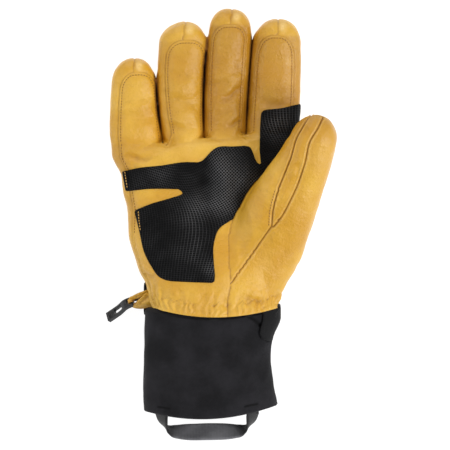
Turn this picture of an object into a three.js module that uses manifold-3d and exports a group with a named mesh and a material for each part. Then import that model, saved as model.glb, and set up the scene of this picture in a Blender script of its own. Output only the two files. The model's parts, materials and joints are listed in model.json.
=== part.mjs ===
// A right-hand ski glove lying palm up: padded leather hand sewn from panels, black grip patch, black fabric cuff,
// wrist strap, webbing pull loop, and a plastic clip on a leather loop.
// Millimetres. +X runs towards the thumb side, +Y towards the fingertips and +Z out of the palm.
// The wrist line is at y = 0 while the glove is drawn. The finished group is then set on the floor, z = 0,
// with its middle over the origin.
import * as THREE from "three";
import { mergeVertices } from "three/addons/utils/BufferGeometryUtils.js";
import Module from "manifold-3d";

const wasm = await Module();
wasm.setup();

// Hand
const palmLength = 112; // wrist line to the finger crotches
const palmDepth = 42; // back to palm, filled
const handWall = 4; // leather, padding and lining together
const hemDrop = 11.6; // how far the leather runs below the wrist line at mid-palm
const hemRise = 6.6; // how much higher the hem is at its two sides
const sideSeamInset = 2; // palm and back panels stop this far short of the wrist's outline
const seamGap = 0.35; // between panels that are sewn together
const restClearance = 0.3; // between a piece and what carries it
const hemClearance = 0.8; // between the leather's hem and the cuff

// Gathered wrist
const pleatCount = 26;
const pleatHeight = 1.5;
const gatherLength = 15;

// Fingers, from the pinky to the index. Widths, lengths and shifts are millimetres. A shift is how far the middle or
// the tip leans off the root's centre. The seams are how far the palm side's tongue stops short of each side.
const fingerGap = 2.2;
const knuckleShift = -4.4; // the four fingers' middle, off the cuff's middle
const fingerRootHeight = 20.5;
const FINGERS = [
  {
    name: "pinky", length: 58.6, rootDrop: 6.5, rootWidth: 35, midWidth: 31, tipWidth: 27.5, midShift: -1.6,
    tipShift: -0.6, depth: 26, curl: 8, seamLeft: 5.8, seamRight: 1.8, cap: 9.4,
  },
  {
    name: "ring", length: 78.8, rootDrop: 2, rootWidth: 25.8, midWidth: 30.6, tipWidth: 32, midShift: -2.4,
    tipShift: 1.6, depth: 28, curl: 11, seamLeft: 5.2, seamRight: 1.8, cap: 12.5,
  },
  {
    name: "middle", length: 85.3, rootDrop: 0, rootWidth: 26.2, midWidth: 28.4, tipWidth: 28.4, midShift: 1.2,
    tipShift: 4.8, depth: 28, curl: 11, seamLeft: 2.2, seamRight: 2.2, cap: 10.4,
  },
  {
    name: "index", length: 78.5, rootDrop: 0, rootWidth: 33.7, midWidth: 33.8, tipWidth: 29.6, midShift: 2.4,
    tipShift: 3.8, depth: 28, curl: 10, seamLeft: 2.2, seamRight: 4.4, cap: 10.9,
  },
];
const backSeamInset = 3;
const tipDomeLength = 15;
const fingerSquareness = 2.5;

// Thumb
const thumbBaseX = 36; // off the cuff's middle
const thumbBaseY = 25;
const thumbBaseZ = 23;
const thumbReach = 39.5; // base to tip, across the hand
const thumbLength = 99; // base to tip, along the hand
const thumbLift = 45; // base to tip, out of the palm
const thumbWidth = 46;
const thumbDepth = 34;
const thumbDomeLength = 16;
const heelSeamX = 12; // where the seam below the thumb crosses the wrist line

// Grip patch
const patchThickness = 1.2;

// Cuff
const cuffLength = 68;
const cuffWidth = 91;
const cuffDepth = 40;
const cuffWall = 2.8;
const cuffTuck = 8; // how far its neck runs up inside the leather
const cuffHemDrop = 7;
const cuffHemTilt = 2;

// Wrist strap
const strapWidth = 22;
const strapThickness = 1.8;
const strapLeftY = 1;
const strapRightY = -13.5;
const strapLeftAngle = 203; // degrees round the wrist, from the thumb side over the palm
const strapRightAngle = 392;

// Pull loop
const pullWidth = 15;
const pullThickness = 1.8;
const pullSpan = 60; // between its two ends
const pullDrop = 11.5; // how far its centreline runs below the cuff's hem
const pullAnchor = 12; // sewn length inside the cuff
const pullShift = -2;
const pullSag = 4;

// Clip and its leather loop
const clipLength = 22.6;
const clipWidth = 6.8;
const clipThickness = 2.6;
const clipRail = 1.5;
const clipBar = 1.8; // the bar at its end that the leather goes round
const clipEyeLength = 4.6;
const clipSlotLength = 7.4;
const clipDip = 24; // degrees that it slopes down to the floor
const clipTurn = 214; // degrees in plan, from +X
const clipRoll = 40; // degrees about its own length
const clipBarX = -52.9;
const clipBarY = -1;
const clipBarZ = 13.4;
const clipLoopWidth = 10;
const clipLoopNeck = 3.2; // its width where it goes through the clip
const clipLoopThickness = 1.3;

const COLOURS = {
  leather: { color: 0xd9a441, roughness: 0.5, metalness: 0 },
  grip: { color: 0x1c1c1c, roughness: 0.7, metalness: 0 },
  cuff: { color: 0x27262a, roughness: 0.9, metalness: 0 },
  webbing: { color: 0x3a3a3d, roughness: 0.75, metalness: 0 },
  plastic: { color: 0x232426, roughness: 0.45, metalness: 0 },
};

// The hand's cross-sections. Along is a share of the palm's length. Left and right are shares of the knuckles' width,
// from their middle. Low, high and hollow are shares of the palm's depth.
const HAND_SECTIONS = [
  { along: -0.045, left: -0.272, right: 0.4, low: 0.1, high: 1.02, hollow: 0 },
  { along: 0.06, left: -0.308, right: 0.394, low: 0.07, high: 1.02, hollow: 0 },
  { along: 0.13, left: -0.334, right: 0.405, low: 0.0, high: 1.05, hollow: 0.02 },
  { along: 0.24, left: -0.362, right: 0.425, low: -0.04, high: 1.07, hollow: 0.08 },
  { along: 0.4, left: -0.4, right: 0.442, low: -0.05, high: 1.04, hollow: 0.14 },
  { along: 0.54, left: -0.405, right: 0.452, low: -0.05, high: 1.0, hollow: 0.15 },
  { along: 0.66, left: -0.43, right: 0.468, low: -0.04, high: 0.97, hollow: 0.12 },
  { along: 0.765, left: -0.44, right: 0.478, low: -0.02, high: 0.94, hollow: 0.05 },
  { along: 0.82, left: -0.475, right: 0.486, low: 0.0, high: 0.92, hollow: 0 },
  { along: 0.87, left: -0.496, right: 0.496, low: 0.03, high: 0.9, hollow: 0 },
  { along: 0.94, left: -0.5, right: 0.5, low: 0.07, high: 0.86, hollow: 0 },
  { along: 0.985, left: -0.485, right: 0.485, low: 0.14, high: 0.76, hollow: 0 },
];
const HAND_SQUARENESS = 2.5;
const KNUCKLE_TILT = 0.1; // the crotches drop towards the pinky

// Along is a share of the finger's length, wide a share of its width there, and crease a share of its depth that its
// palm side dips by.
const FINGER_SECTIONS = [
  { along: -0.26, wide: 0.6, crease: 0 },
  { along: -0.1, wide: 0.9, crease: 0 },
  { along: 0.05, wide: 1, crease: 0.05 },
  { along: 0.2, wide: 1, crease: 0 },
  { along: 0.33, wide: 1, crease: 0.06 },
  { along: 0.46, wide: 1, crease: 0 },
  { along: 0.62, wide: 1, crease: 0.03 },
];

// Along, side and lift are shares of the thumb's length, reach and lift. Width and depth are shares of its own.
const THUMB_SECTIONS = [
  { along: -0.26, side: 0.02, lift: 0.02, width: 0.46, depth: 0.6 },
  { along: -0.12, side: 0.02, lift: 0.03, width: 0.74, depth: 0.8 },
  { along: 0, side: 0.03, lift: 0.05, width: 0.95, depth: 0.92 },
  { along: 0.14, side: 0.1, lift: 0.13, width: 1.06, depth: 1.0 },
  { along: 0.3, side: 0.23, lift: 0.28, width: 1.06, depth: 1.0 },
  { along: 0.45, side: 0.4, lift: 0.45, width: 0.99, depth: 0.93 },
  { along: 0.6, side: 0.59, lift: 0.63, width: 0.87, depth: 0.86 },
  { along: 0.74, side: 0.76, lift: 0.79, width: 0.76, depth: 0.8 },
  { along: 0.86, side: 0.88, lift: 0.91, width: 0.68, depth: 0.77 },
];
// The thumb's two front seams. Along is a share of its length, and left and right are shares of its half width.
const THUMB_SEAMS = [
  { along: 0.25, left: -0.06, right: 0.0 },
  { along: 0.36, left: -0.2, right: 0.12 },
  { along: 0.5, left: -0.34, right: 0.14 },
  { along: 0.68, left: -0.5, right: 0.04 },
  { along: 0.82, left: -0.66, right: -0.12 },
  { along: 0.95, left: -0.6, right: 0.0 },
  { along: 1.1, left: -0.2, right: 0.05 },
];

// The seam that joins the thumb and the heel to the palm. X is off the cuff's middle, and along is a share of the
// palm's length.
const HEEL_SEAM = [
  { x: 12, along: 0 },
  { x: 14.4, along: 0.1 },
  { x: 12.7, along: 0.27 },
  { x: 13, along: 0.38 },
  { x: 16, along: 0.49 },
  { x: 21.5, along: 0.59 },
  { x: 34, along: 0.55 },
];

// The cuff's cross-sections. Along is a share of its length below the leather's hem, left and right are shares of
// its width, and low and high are shares of its depth.
const CUFF_SECTIONS = [
  { along: 0, left: -0.484, right: 0.505, low: 0.08, high: 1.04 },
  { along: 0.14, left: -0.49, right: 0.492, low: 0.05, high: 1.04 },
  { along: 0.3, left: -0.493, right: 0.46, low: 0.01, high: 1.0 },
  { along: 0.5, left: -0.496, right: 0.452, low: -0.03, high: 0.98 },
  { along: 0.75, left: -0.5, right: 0.47, low: -0.04, high: 0.95 },
  { along: 1, left: -0.49, right: 0.5, low: -0.04, high: 0.9 },
];
const CUFF_SQUARENESS = 2.3;

// The grip patch's outline seen from the palm side, from the little strap round to the index finger and back.
// Across is a share of the knuckles' width from their middle, and along a share of the palm's length.
const PATCH_OUTLINE = [
  { kind: "line", points: [[-0.433, 0.78]] },
  { kind: "curve", points: [[-0.335, 0.803], [-0.225, 0.815], [-0.116, 0.834], [-0.028, 0.834]] },
  { kind: "curve", points: [[-0.001, 0.849], [0.047, 0.905], [0.086, 0.929], [0.157, 0.93], [0.222, 0.934]] },
  { kind: "curve", points: [[0.252, 0.92], [0.281, 0.841], [0.306, 0.818]] },
  { kind: "line", points: [[0.298, 0.911], [0.302, 1.043], [0.305, 1.105]] },
  { kind: "curve", points: [[0.31, 1.135], [0.329, 1.151], [0.418, 1.162], [0.487, 1.182], [0.56, 1.2]] },
  { kind: "line", points: [[0.56, 0.82], [0.35, 0.6]] },
  { kind: "line", points: [[0.152, 0.488]] },
  { kind: "curve", points: [[0.083, 0.431], [0.056, 0.346], [0.053, 0.268], [0.061, 0.152]] },
  { kind: "curve", points: [[0.058, 0.116], [0.045, 0.105]] },
  { kind: "curve", points: [[-0.061, 0.109], [-0.171, 0.115]] },
  { kind: "curve", points: [[-0.214, 0.128], [-0.253, 0.164], [-0.312, 0.282], [-0.34, 0.413], [-0.367, 0.543]] },
  { kind: "curve", points: [[-0.28, 0.583], [-0.204, 0.608], [-0.143, 0.629]] },
  { kind: "curve", points: [[-0.116, 0.641], [-0.112, 0.654], [-0.132, 0.672]] },
  { kind: "curve", points: [[-0.225, 0.674], [-0.303, 0.672], [-0.395, 0.661], [-0.414, 0.664]] },
];

// The pull loop from one end to the other. Side is a share of its span from the middle, drop a share of its drop
// below the hem, and lean is in degrees from upright, outwards.
const PULL_PATH = [
  { side: -0.5, drop: 0.0, lean: -32 },
  { side: -0.49, drop: 0.32, lean: -24 },
  { side: -0.462, drop: 0.64, lean: -6 },
  { side: -0.41, drop: 0.88, lean: 22 },
  { side: -0.33, drop: 0.98, lean: 42 },
  { side: -0.17, drop: 1.0, lean: 50 },
  { side: 0, drop: 0.98, lean: 50 },
  { side: 0.17, drop: 0.97, lean: 50 },
  { side: 0.33, drop: 0.95, lean: 42 },
  { side: 0.41, drop: 0.84, lean: 22 },
  { side: 0.462, drop: 0.6, lean: -6 },
  { side: 0.49, drop: 0.3, lean: -24 },
  { side: 0.5, drop: 0.0, lean: -32 },
];

// The leather loop's two strands, from the side seam to the clip. Out is a share of the way to the clip's bar. Back
// and lift are shares of the strip's width, and wide is the share of that width that it has there.
const CLIP_LOOP_STRANDS = [
  { side: 1, out: -0.25, back: 0.55, lift: 0.15, lean: 20, wide: 0.8 },
  { side: 1, out: 0.05, back: 0.5, lift: 0.2, lean: 20, wide: 0.75 },
  { side: 1, out: 0.4, back: 0.32, lift: 0.16, lean: 30, wide: 0.6 },
  { side: 1, out: 0.75, back: 0.1, lift: 0.04, lean: 46, wide: 0.42 },
  { side: -1, out: 0.75, back: -0.04, lift: -0.02, lean: 52, wide: 0.5 },
  { side: -1, out: 0.4, back: -0.06, lift: 0, lean: 58, wide: 0.8 },
  { side: -1, out: 0.05, back: 0.1, lift: 0.05, lean: 64, wide: 1 },
  { side: -1, out: -0.25, back: 0.1, lift: 0.1, lean: 66, wide: 1 },
];
// Steps round the clip's bar, in degrees from the upper strand to the lower one.
const BAR_STEPS = [100, 65, 42, 18, -18, -42, -65, -100];

// How many points a ring has on the outside and on the plainer inside, how many rows of a table each ring skips, and
// the steps round a fingertip's dome in degrees.
const OUTSIDE = { finger: 14, hand: 24, every: 1, dome: [0, 34, 64] };
const INSIDE = { finger: 8, hand: 14, every: 2, dome: [0, 56] };
const CUFF_SIDES = 24;
const smallest = 0.08; // edges under this are left out, as cutting leaves slivers
const FAR = 400; // longer than the glove, for cutters

// Solids from geometry and back

function solidFrom(geometry) {
  const loose = geometry.index ? geometry.toNonIndexed() : geometry;
  const bare = new THREE.BufferGeometry().setAttribute("position", loose.getAttribute("position"));
  const merged = mergeVertices(bare, 1e-4);
  return new wasm.Manifold(
    new wasm.Mesh({
      numProp: 3,
      vertProperties: merged.attributes.position.array,
      triVerts: new Uint32Array(merged.index.array),
    }),
  );
}

function geometryFrom(solid) {
  const mesh = solid.simplify(smallest).getMesh();
  const positions = new Float32Array(mesh.numVert * 3);
  for (let i = 0; i < mesh.numVert; i++) {
    positions.set(mesh.vertProperties.subarray(i * mesh.numProp, i * mesh.numProp + 3), i * 3);
  }
  const geometry = new THREE.BufferGeometry();
  geometry.setAttribute("position", new THREE.BufferAttribute(positions, 3));
  geometry.setIndex(new THREE.BufferAttribute(mesh.triVerts, 1));
  geometry.computeVertexNormals();
  return geometry;
}

// A closed solid through rings of points, each with as many points as the first, with a flat end at both ends.
function loft(rings) {
  const count = rings[0].length;
  const points = rings.flat();
  const faces = [];
  for (let r = 0; r < rings.length - 1; r++) {
    for (let i = 0; i < count; i++) {
      const here = r * count + i;
      const next = r * count + ((i + 1) % count);
      faces.push([here, next, next + count], [here, next + count, here + count]);
    }
  }
  for (const [ring, turned] of [[0, true], [rings.length - 1, false]]) {
    const centre = rings[ring].reduce((sum, p) => sum.add(p), new THREE.Vector3()).divideScalar(count);
    const hub = points.push(centre) - 1;
    for (let i = 0; i < count; i++) {
      const here = ring * count + i;
      const next = ring * count + ((i + 1) % count);
      faces.push(turned ? [hub, next, here] : [hub, here, next]);
    }
  }
  const volume = faces.reduce((sum, [a, b, c]) => sum + points[a].dot(points[b].clone().cross(points[c])), 0);
  const order = volume < 0 ? [0, 2, 1] : [0, 1, 2];
  return new wasm.Manifold(
    new wasm.Mesh({
      numProp: 3,
      vertProperties: new Float32Array(points.flatMap((p) => [p.x, p.y, p.z])),
      triVerts: new Uint32Array(faces.flatMap((face) => order.map((k) => face[k]))),
    }),
  );
}

// One point of a superellipse, as shares of its half sizes.
function superellipse(angle, squareness) {
  const power = 2 / squareness;
  return [
    Math.sign(Math.cos(angle)) * Math.abs(Math.cos(angle)) ** power,
    Math.sign(Math.sin(angle)) * Math.abs(Math.sin(angle)) ** power,
  ];
}

function turn(index, count) {
  return (2 * Math.PI * index) / count;
}

// A box between two corners.
function block(low, high) {
  const geometry = new THREE.BoxGeometry(high[0] - low[0], high[1] - low[1], high[2] - low[2]);
  geometry.translate((low[0] + high[0]) / 2, (low[1] + high[1]) / 2, (low[2] + high[2]) / 2);
  return solidFrom(geometry);
}

// An outline in plan, extruded from one height to another.
function prism(shape, low, high, steps = 2) {
  const geometry = new THREE.ExtrudeGeometry(shape, { depth: high - low, bevelEnabled: false, curveSegments: steps });
  geometry.translate(0, 0, low);
  return solidFrom(geometry);
}

// A cutter through upright rectangles that follow a row of stations along the hand.
function cutterThrough(stations) {
  return loft(
    stations.map(({ y, left, right, low, high }) => [
      new THREE.Vector3(left, y, low),
      new THREE.Vector3(right, y, low),
      new THREE.Vector3(right, y, high),
      new THREE.Vector3(left, y, high),
    ]),
  );
}

// A flat strip along a path. Each station has a centre, the strip's width there and the way its width points.
function strip(stations, thickness) {
  return loft(
    stations.map(({ centre, width, across }, i) => {
      const before = stations[Math.max(i - 1, 0)].centre;
      const after = stations[Math.min(i + 1, stations.length - 1)].centre;
      const along = after.clone().sub(before).normalize();
      const side = across.clone().addScaledVector(along, -across.dot(along)).normalize().multiplyScalar(width / 2);
      const face = along.clone().cross(side).normalize().multiplyScalar(thickness / 2);
      return [
        centre.clone().add(side).add(face),
        centre.clone().sub(side).add(face),
        centre.clone().sub(side).sub(face),
        centre.clone().add(side).sub(face),
      ];
    }),
  );
}

// Cutting curved walls can leave crumbs at the corners of a cut. The panel is the largest body.
function mainBody(solid) {
  return solid.decompose().sort((a, b) => b.volume() - a.volume())[0];
}

// A smooth value through three values at the root, the middle and the tip.
function through(root, middle, tip, share) {
  return (
    root * (1 - share) * (1 - 2 * share) + middle * 4 * share * (1 - share) + tip * share * (2 * share - 1)
  );
}

// Hand

const knuckleWidth = FINGERS.reduce((sum, f) => sum + f.rootWidth, 0) + fingerGap * (FINGERS.length - 1);

function acrossHand(share) {
  return knuckleShift + share * knuckleWidth;
}

// A value of the hand's table at a place along the hand.
function handAt(along, key) {
  const rows = HAND_SECTIONS;
  const last = rows.findIndex((row) => row.along >= along);
  if (last === 0) {
    return rows[0][key];
  }
  if (last < 0) {
    return rows[rows.length - 1][key];
  }
  const [a, b] = [rows[last - 1], rows[last]];
  return a[key] + ((b[key] - a[key]) * (along - a.along)) / (b.along - a.along);
}

// One ring round the hand at a place along it, moved out by grow and drooping in the middle.
function handRing(along, grow, { count = OUTSIDE.hand, offset = 0, droop = 0, pleat = 0 } = {}) {
  const left = acrossHand(handAt(along, "left")) - grow;
  const right = acrossHand(handAt(along, "right")) + grow;
  const low = handAt(along, "low") * palmDepth - grow;
  const high = handAt(along, "high") * palmDepth + grow;
  const hollow = handAt(along, "hollow") * palmDepth;
  const middle = (left + right) / 2;
  const ring = [];
  for (let i = 0; i < count; i++) {
    const [u, v] = superellipse(turn(i, count), HAND_SQUARENESS);
    const ripple = pleat * Math.cos(pleatCount * turn(i, count));
    const x = middle + u * ((right - left) / 2 + ripple);
    const dish = v > 0 ? hollow * (1 - u * u) ** 1.5 : 0;
    const z = (low + high) / 2 + v * ((high - low) / 2 + ripple) - dish;
    const tilt = along > 0.9 ? KNUCKLE_TILT * x : 0;
    ring.push(new THREE.Vector3(x, along * palmLength + offset + tilt - droop * (1 - u * u), z));
  }
  return ring;
}

const hemSideY = hemRise - hemDrop;

// The hand from its hem to the crotches.
function handForm(grow, detail, openEnd = 0) {
  const count = detail.hand;
  const hems = (openEnd > 0 ? [openEnd, 0] : [0]).map((down) =>
    handRing(HAND_SECTIONS[0].along, grow, {
      count,
      offset: hemSideY - HAND_SECTIONS[0].along * palmLength - down,
      droop: hemRise,
    }),
  );
  const rows = HAND_SECTIONS.filter((_, i) => i > 0 && i < HAND_SECTIONS.length - 1 && i % detail.every === 0);
  const rings = rows.map((row) => handRing(row.along, grow, { count }));
  const end = handRing(HAND_SECTIONS.at(-1).along, grow, { count, offset: grow });
  return loft([...hems, ...rings, end]);
}

// The pleats that the wrist's elastic draws up, as a rippled band just above the hem.
function gatherForm(grow = 0) {
  const count = pleatCount * 2;
  const hemAlong = HAND_SECTIONS[0].along;
  const rows = [
    { up: 0, pleat: 0.5 },
    { up: 0.4, pleat: 1 },
    { up: 1, pleat: 0 },
  ];
  return loft(
    rows.map(({ up, pleat }) => {
      const along = hemAlong + (up * gatherLength) / palmLength;
      return handRing(along, grow + pleat * 0.5 * pleatHeight, {
        count,
        offset: hemSideY + up * gatherLength - along * palmLength - (up > 0 ? 0 : grow),
        droop: hemRise * (1 - up),
        pleat: pleat * pleatHeight,
      });
    }),
  );
}

// Fingers

// Where a finger's root is, from the widths of the fingers before it.
function rootX(index) {
  const before = FINGERS.slice(0, index).reduce((sum, f) => sum + f.rootWidth + fingerGap, 0);
  return knuckleShift - knuckleWidth / 2 + before + FINGERS[index].rootWidth / 2;
}

function fingerAt(index, along) {
  const f = FINGERS[index];
  const share = Math.max(0, along);
  return {
    x: rootX(index) + through(0, f.midShift, f.tipShift, share),
    y: palmLength - f.rootDrop + along * f.length,
    z: fingerRootHeight + f.curl * share * share,
    halfWidth: through(f.rootWidth, f.midWidth, f.tipWidth, share) / 2,
    halfDepth: (f.depth * (1 - 0.12 * share)) / 2,
  };
}

// A ring of a finger or thumb in the plane that its direction is square to.
function tubeRing(place, direction, halfWidth, halfDepth, crease, count) {
  const right = direction.clone().cross(new THREE.Vector3(0, 0, 1)).normalize();
  const up = right.clone().cross(direction);
  const ring = [];
  for (let i = 0; i < count; i++) {
    const [u, v] = superellipse(turn(i, count), fingerSquareness);
    const dip = v > 0 ? crease : 0;
    ring.push(
      place
        .clone()
        .addScaledVector(right, u * halfWidth)
        .addScaledVector(up, v * (halfDepth - dip)),
    );
  }
  return ring;
}

// A tube with a domed tip. At tells the place and half sizes along it.
function domedTube(at, sections, domeStart, tipLength, domeLength, grow, detail) {
  const count = detail.finger;
  const rings = [];
  const direction = (along) => at(along + 0.02).place.sub(at(along - 0.02).place).normalize();
  for (const { along, wide, crease } of sections.filter((_, i) => i % detail.every === 0)) {
    const start = along === sections[0].along ? grow / tipLength : 0;
    const { place, halfWidth, halfDepth } = at(along - start);
    const dip = crease * halfDepth * 2;
    rings.push(tubeRing(place, direction(along), halfWidth * wide + grow, halfDepth + grow, dip, count));
  }
  for (const degrees of detail.dome) {
    const angle = THREE.MathUtils.degToRad(degrees);
    const along = domeStart + (Math.sin(angle) * (domeLength + grow)) / tipLength;
    const { place, halfWidth, halfDepth } = at(along);
    const shrink = Math.cos(angle) ** 0.68;
    rings.push(
      tubeRing(place, direction(along), (halfWidth + grow) * shrink, (halfDepth + grow) * shrink, 0, count),
    );
  }
  const { place } = at(domeStart + (domeLength + grow) / tipLength);
  rings.push(tubeRing(place, direction(1), 0.6, 0.6, 0, count));
  return loft(rings);
}

function fingerForm(index, grow, detail) {
  const f = FINGERS[index];
  const at = (along) => {
    const { x, y, z, halfWidth, halfDepth } = fingerAt(index, along);
    return { place: new THREE.Vector3(x, y, z), halfWidth, halfDepth };
  };
  return domedTube(at, FINGER_SECTIONS, 1 - tipDomeLength / f.length, f.length, tipDomeLength, grow, detail);
}

// Thumb

function thumbAt(along) {
  const rows = THUMB_SECTIONS;
  const last = Math.min(Math.max(rows.findIndex((row) => row.along >= along), 1), rows.length - 1);
  const [a, b] = along > rows[rows.length - 1].along ? rows.slice(-2) : [rows[last - 1], rows[last]];
  const share = (along - a.along) / (b.along - a.along);
  const value = (key) => a[key] + (b[key] - a[key]) * share;
  return {
    place: new THREE.Vector3(
      thumbBaseX + value("side") * thumbReach,
      thumbBaseY + along * thumbLength,
      thumbBaseZ + value("lift") * thumbLift,
    ),
    halfWidth: (Math.max(value("width"), 0.4) * thumbWidth) / 2,
    halfDepth: (Math.max(value("depth"), 0.6) * thumbDepth) / 2,
  };
}

function thumbForm(grow, detail) {
  const sections = THUMB_SECTIONS.map(({ along }) => ({ along, wide: 1, crease: along > 0.5 && along < 0.7 ? 0.03 : 0 }));
  return domedTube(thumbAt, sections, THUMB_SECTIONS.at(-1).along, thumbLength, thumbDomeLength, grow, detail);
}

// The whole outer form, or with a negative grow the hollow inside it. The floor flattens the back at height floor.
function gloveForm(grow, { floor = -FAR, openEnd = 0, gathered = false, thumb = true, detail = OUTSIDE } = {}) {
  let form = handForm(grow, detail, openEnd);
  if (thumb) {
    form = form.add(thumbForm(grow, detail));
  }
  FINGERS.forEach((_, index) => {
    form = form.add(fingerForm(index, grow, detail));
  });
  if (gathered) {
    form = form.add(gatherForm());
  }
  return form.subtract(block([-FAR, -FAR, -FAR], [FAR, FAR, floor]));
}

// Panels

// The palm side's or back's zone: side +1 is the palm, -1 the back. It takes in the hand and a tongue up each finger.
function panelZone(side, inset) {
  const short = inset - seamGap / 2;
  const reach = (middle) => (side > 0 ? { low: middle + short, high: FAR } : { low: -FAR, high: middle - short });
  const handStations = [-0.4, 0.06, 0.3, 0.54, 0.76, 0.86, 0.925].map((along, i) => {
    const share = THREE.MathUtils.smoothstep(along, 0.3, 0.86);
    const first = side > 0 ? FINGERS[0].seamLeft : backSeamInset;
    const last = side > 0 ? FINGERS.at(-1).seamRight : backSeamInset;
    return {
      y: along * palmLength - (i > 0 ? inset : 0),
      left: acrossHand(handAt(along, "left")) + sideSeamInset + (first - sideSeamInset) * share + inset,
      right: acrossHand(handAt(along, "right")) - sideSeamInset - (last - sideSeamInset) * share - inset,
      ...reach(((handAt(along, "low") + handAt(along, "high")) / 2) * palmDepth),
    };
  });
  let zone = cutterThrough(handStations);
  FINGERS.forEach((f, index) => {
    const leftSeam = side > 0 ? f.seamLeft : backSeamInset;
    const rightSeam = side > 0 ? f.seamRight : backSeamInset;
    const cap = side > 0 ? f.cap : tipDomeLength * 0.6;
    const top = 1 - cap / f.length;
    const archStart = top - (0.42 * f.midWidth) / f.length;
    const arch = [0, 30, 55, 75, 90].map((degrees) => THREE.MathUtils.degToRad(degrees));
    const stations = [
      ...[-0.2, 0, 0.25, 0.5].map((along) => ({ along, rise: along < 0 ? -1 : 0, shrink: 1 })),
      ...arch.map((angle) => ({
        along: archStart + (top - archStart) * Math.sin(angle),
        rise: Math.sin(angle),
        shrink: Math.max(0.25, Math.cos(angle) ** 0.7),
      })),
    ].map(({ along, rise, shrink }) => {
      const { x, y, z, halfWidth } = fingerAt(index, along);
      const left = x - halfWidth + leftSeam;
      const right = x + halfWidth - rightSeam;
      const middle = (left + right) / 2;
      const half = ((right - left) / 2) * shrink - inset;
      return { y: y - inset * rise, left: middle - half, right: middle + half, ...reach(z) };
    });
    zone = zone.add(cutterThrough(stations));
  });
  return zone;
}

// The thumb and the heel below it, which are sewn to the palm as one part.
function thumbZone(grow) {
  const heel = new THREE.Shape();
  heel.moveTo(heelSeamX - grow, -FAR);
  for (const { x, along } of HEEL_SEAM) {
    heel.lineTo(x - grow, along * palmLength + grow);
  }
  const sideY = thumbBaseY + 0.22 * thumbLength;
  heel.lineTo(thumbBaseX + thumbWidth * 0.2, sideY + grow);
  heel.lineTo(FAR, sideY + grow);
  heel.lineTo(FAR, -FAR);
  return prism(heel, palmDepth / 2 - grow, FAR).add(thumbForm(grow, OUTSIDE));
}

// Where a thumb seam runs in plan: side is a share of the half width at that place.
function thumbSeamPoint(along, side) {
  const { place, halfWidth } = thumbAt(along);
  const direction = thumbAt(along + 0.02).place.sub(thumbAt(along - 0.02).place).normalize();
  const right = direction.cross(new THREE.Vector3(0, 0, 1)).normalize();
  return place.addScaledVector(right, side * halfWidth);
}

// The thumb's inner face: all that lies on the palm's side of its left seam and of the slanting seam below it.
function thumbInnerZone(inset) {
  const shape = new THREE.Shape();
  const seam = THUMB_SEAMS.map(({ along, left }) => thumbSeamPoint(along, left));
  shape.moveTo(-FAR, 0.1 * palmLength + inset);
  shape.lineTo(heelSeamX + 2.3, 0.1 * palmLength + inset);
  for (const point of seam) {
    shape.lineTo(point.x - inset, point.y);
  }
  shape.lineTo(seam.at(-1).x - inset, FAR);
  shape.lineTo(-FAR, FAR);
  return prism(shape, -FAR, FAR);
}

// All that lies on the palm's side of the thumb's right seam, but for the far end of its inner face.
function thumbWedgeZone(inset) {
  const stations = THUMB_SEAMS.map(({ along, left, right }, i) => {
    const a = thumbSeamPoint(along, left);
    const b = thumbSeamPoint(along, right);
    return {
      y: (a.y + b.y) / 2 + (i === 0 ? inset : 0) - (i === THUMB_SEAMS.length - 1 ? inset : 0),
      left: a.x - 2,
      right: b.x - inset,
      low: thumbAt(along).place.z + inset,
      high: FAR,
    };
  });
  return cutterThrough(stations);
}

const shellOuter = gloveForm(0, { floor: 0, gathered: true });
const shellHollow = gloveForm(-handWall, { floor: handWall, openEnd: 2 * gatherLength, detail: INSIDE });
const shell = shellOuter.subtract(shellHollow);

const sewnHand = shell.subtract(thumbZone(seamGap));
const palmPanel = mainBody(sewnHand.intersect(panelZone(1, seamGap)));
const backPanel = mainBody(sewnHand.intersect(panelZone(-1, seamGap)).subtract(panelZone(1, 0)));

// What is left between the palm and the back: five strips that meet in a short seam at each fingertip.
function sideStrips() {
  let rest = sewnHand.subtract(panelZone(1, 0)).subtract(panelZone(-1, 0));
  FINGERS.forEach((f, index) => {
    const { x, y } = fingerAt(index, 1);
    const half = seamGap / 2;
    rest = rest.subtract(block([x - half, y - 3 * tipDomeLength, -FAR], [x + half, y + tipDomeLength, FAR]));
  });
  const bodies = rest.decompose().sort((a, b) => b.volume() - a.volume()).slice(0, FINGERS.length + 1);
  const middleX = (body) => (body.boundingBox().min[0] + body.boundingBox().max[0]) / 2;
  return bodies.sort((a, b) => middleX(a) - middleX(b));
}

const thumbShell = shell.intersect(thumbZone(0));
const thumbInner = mainBody(thumbShell.intersect(thumbInnerZone(seamGap)));
const thumbWedge = mainBody(thumbShell.intersect(thumbWedgeZone(seamGap)).subtract(thumbInnerZone(0)));
const thumbOuter = mainBody(thumbShell.subtract(thumbInnerZone(0)).subtract(thumbWedgeZone(0)));

// Grip patch

function patchShape() {
  const shape = new THREE.Shape();
  const place = ([across, along]) => new THREE.Vector2(acrossHand(across), along * palmLength);
  const start = place(PATCH_OUTLINE[0].points[0]);
  shape.moveTo(start.x, start.y);
  for (const { kind, points } of PATCH_OUTLINE) {
    const placed = points.map(place);
    if (kind === "curve") {
      shape.splineThru(placed);
    } else {
      placed.forEach((p) => shape.lineTo(p.x, p.y));
    }
  }
  return shape;
}

function gripPatch() {
  const over = (grow) => gloveForm(grow, { thumb: false });
  const layer = over(restClearance + patchThickness).subtract(over(restClearance));
  const zone = prism(patchShape(), palmDepth / 2, FAR);
  return mainBody(layer.intersect(zone).subtract(thumbZone(2 * restClearance)));
}

// Cuff

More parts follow.
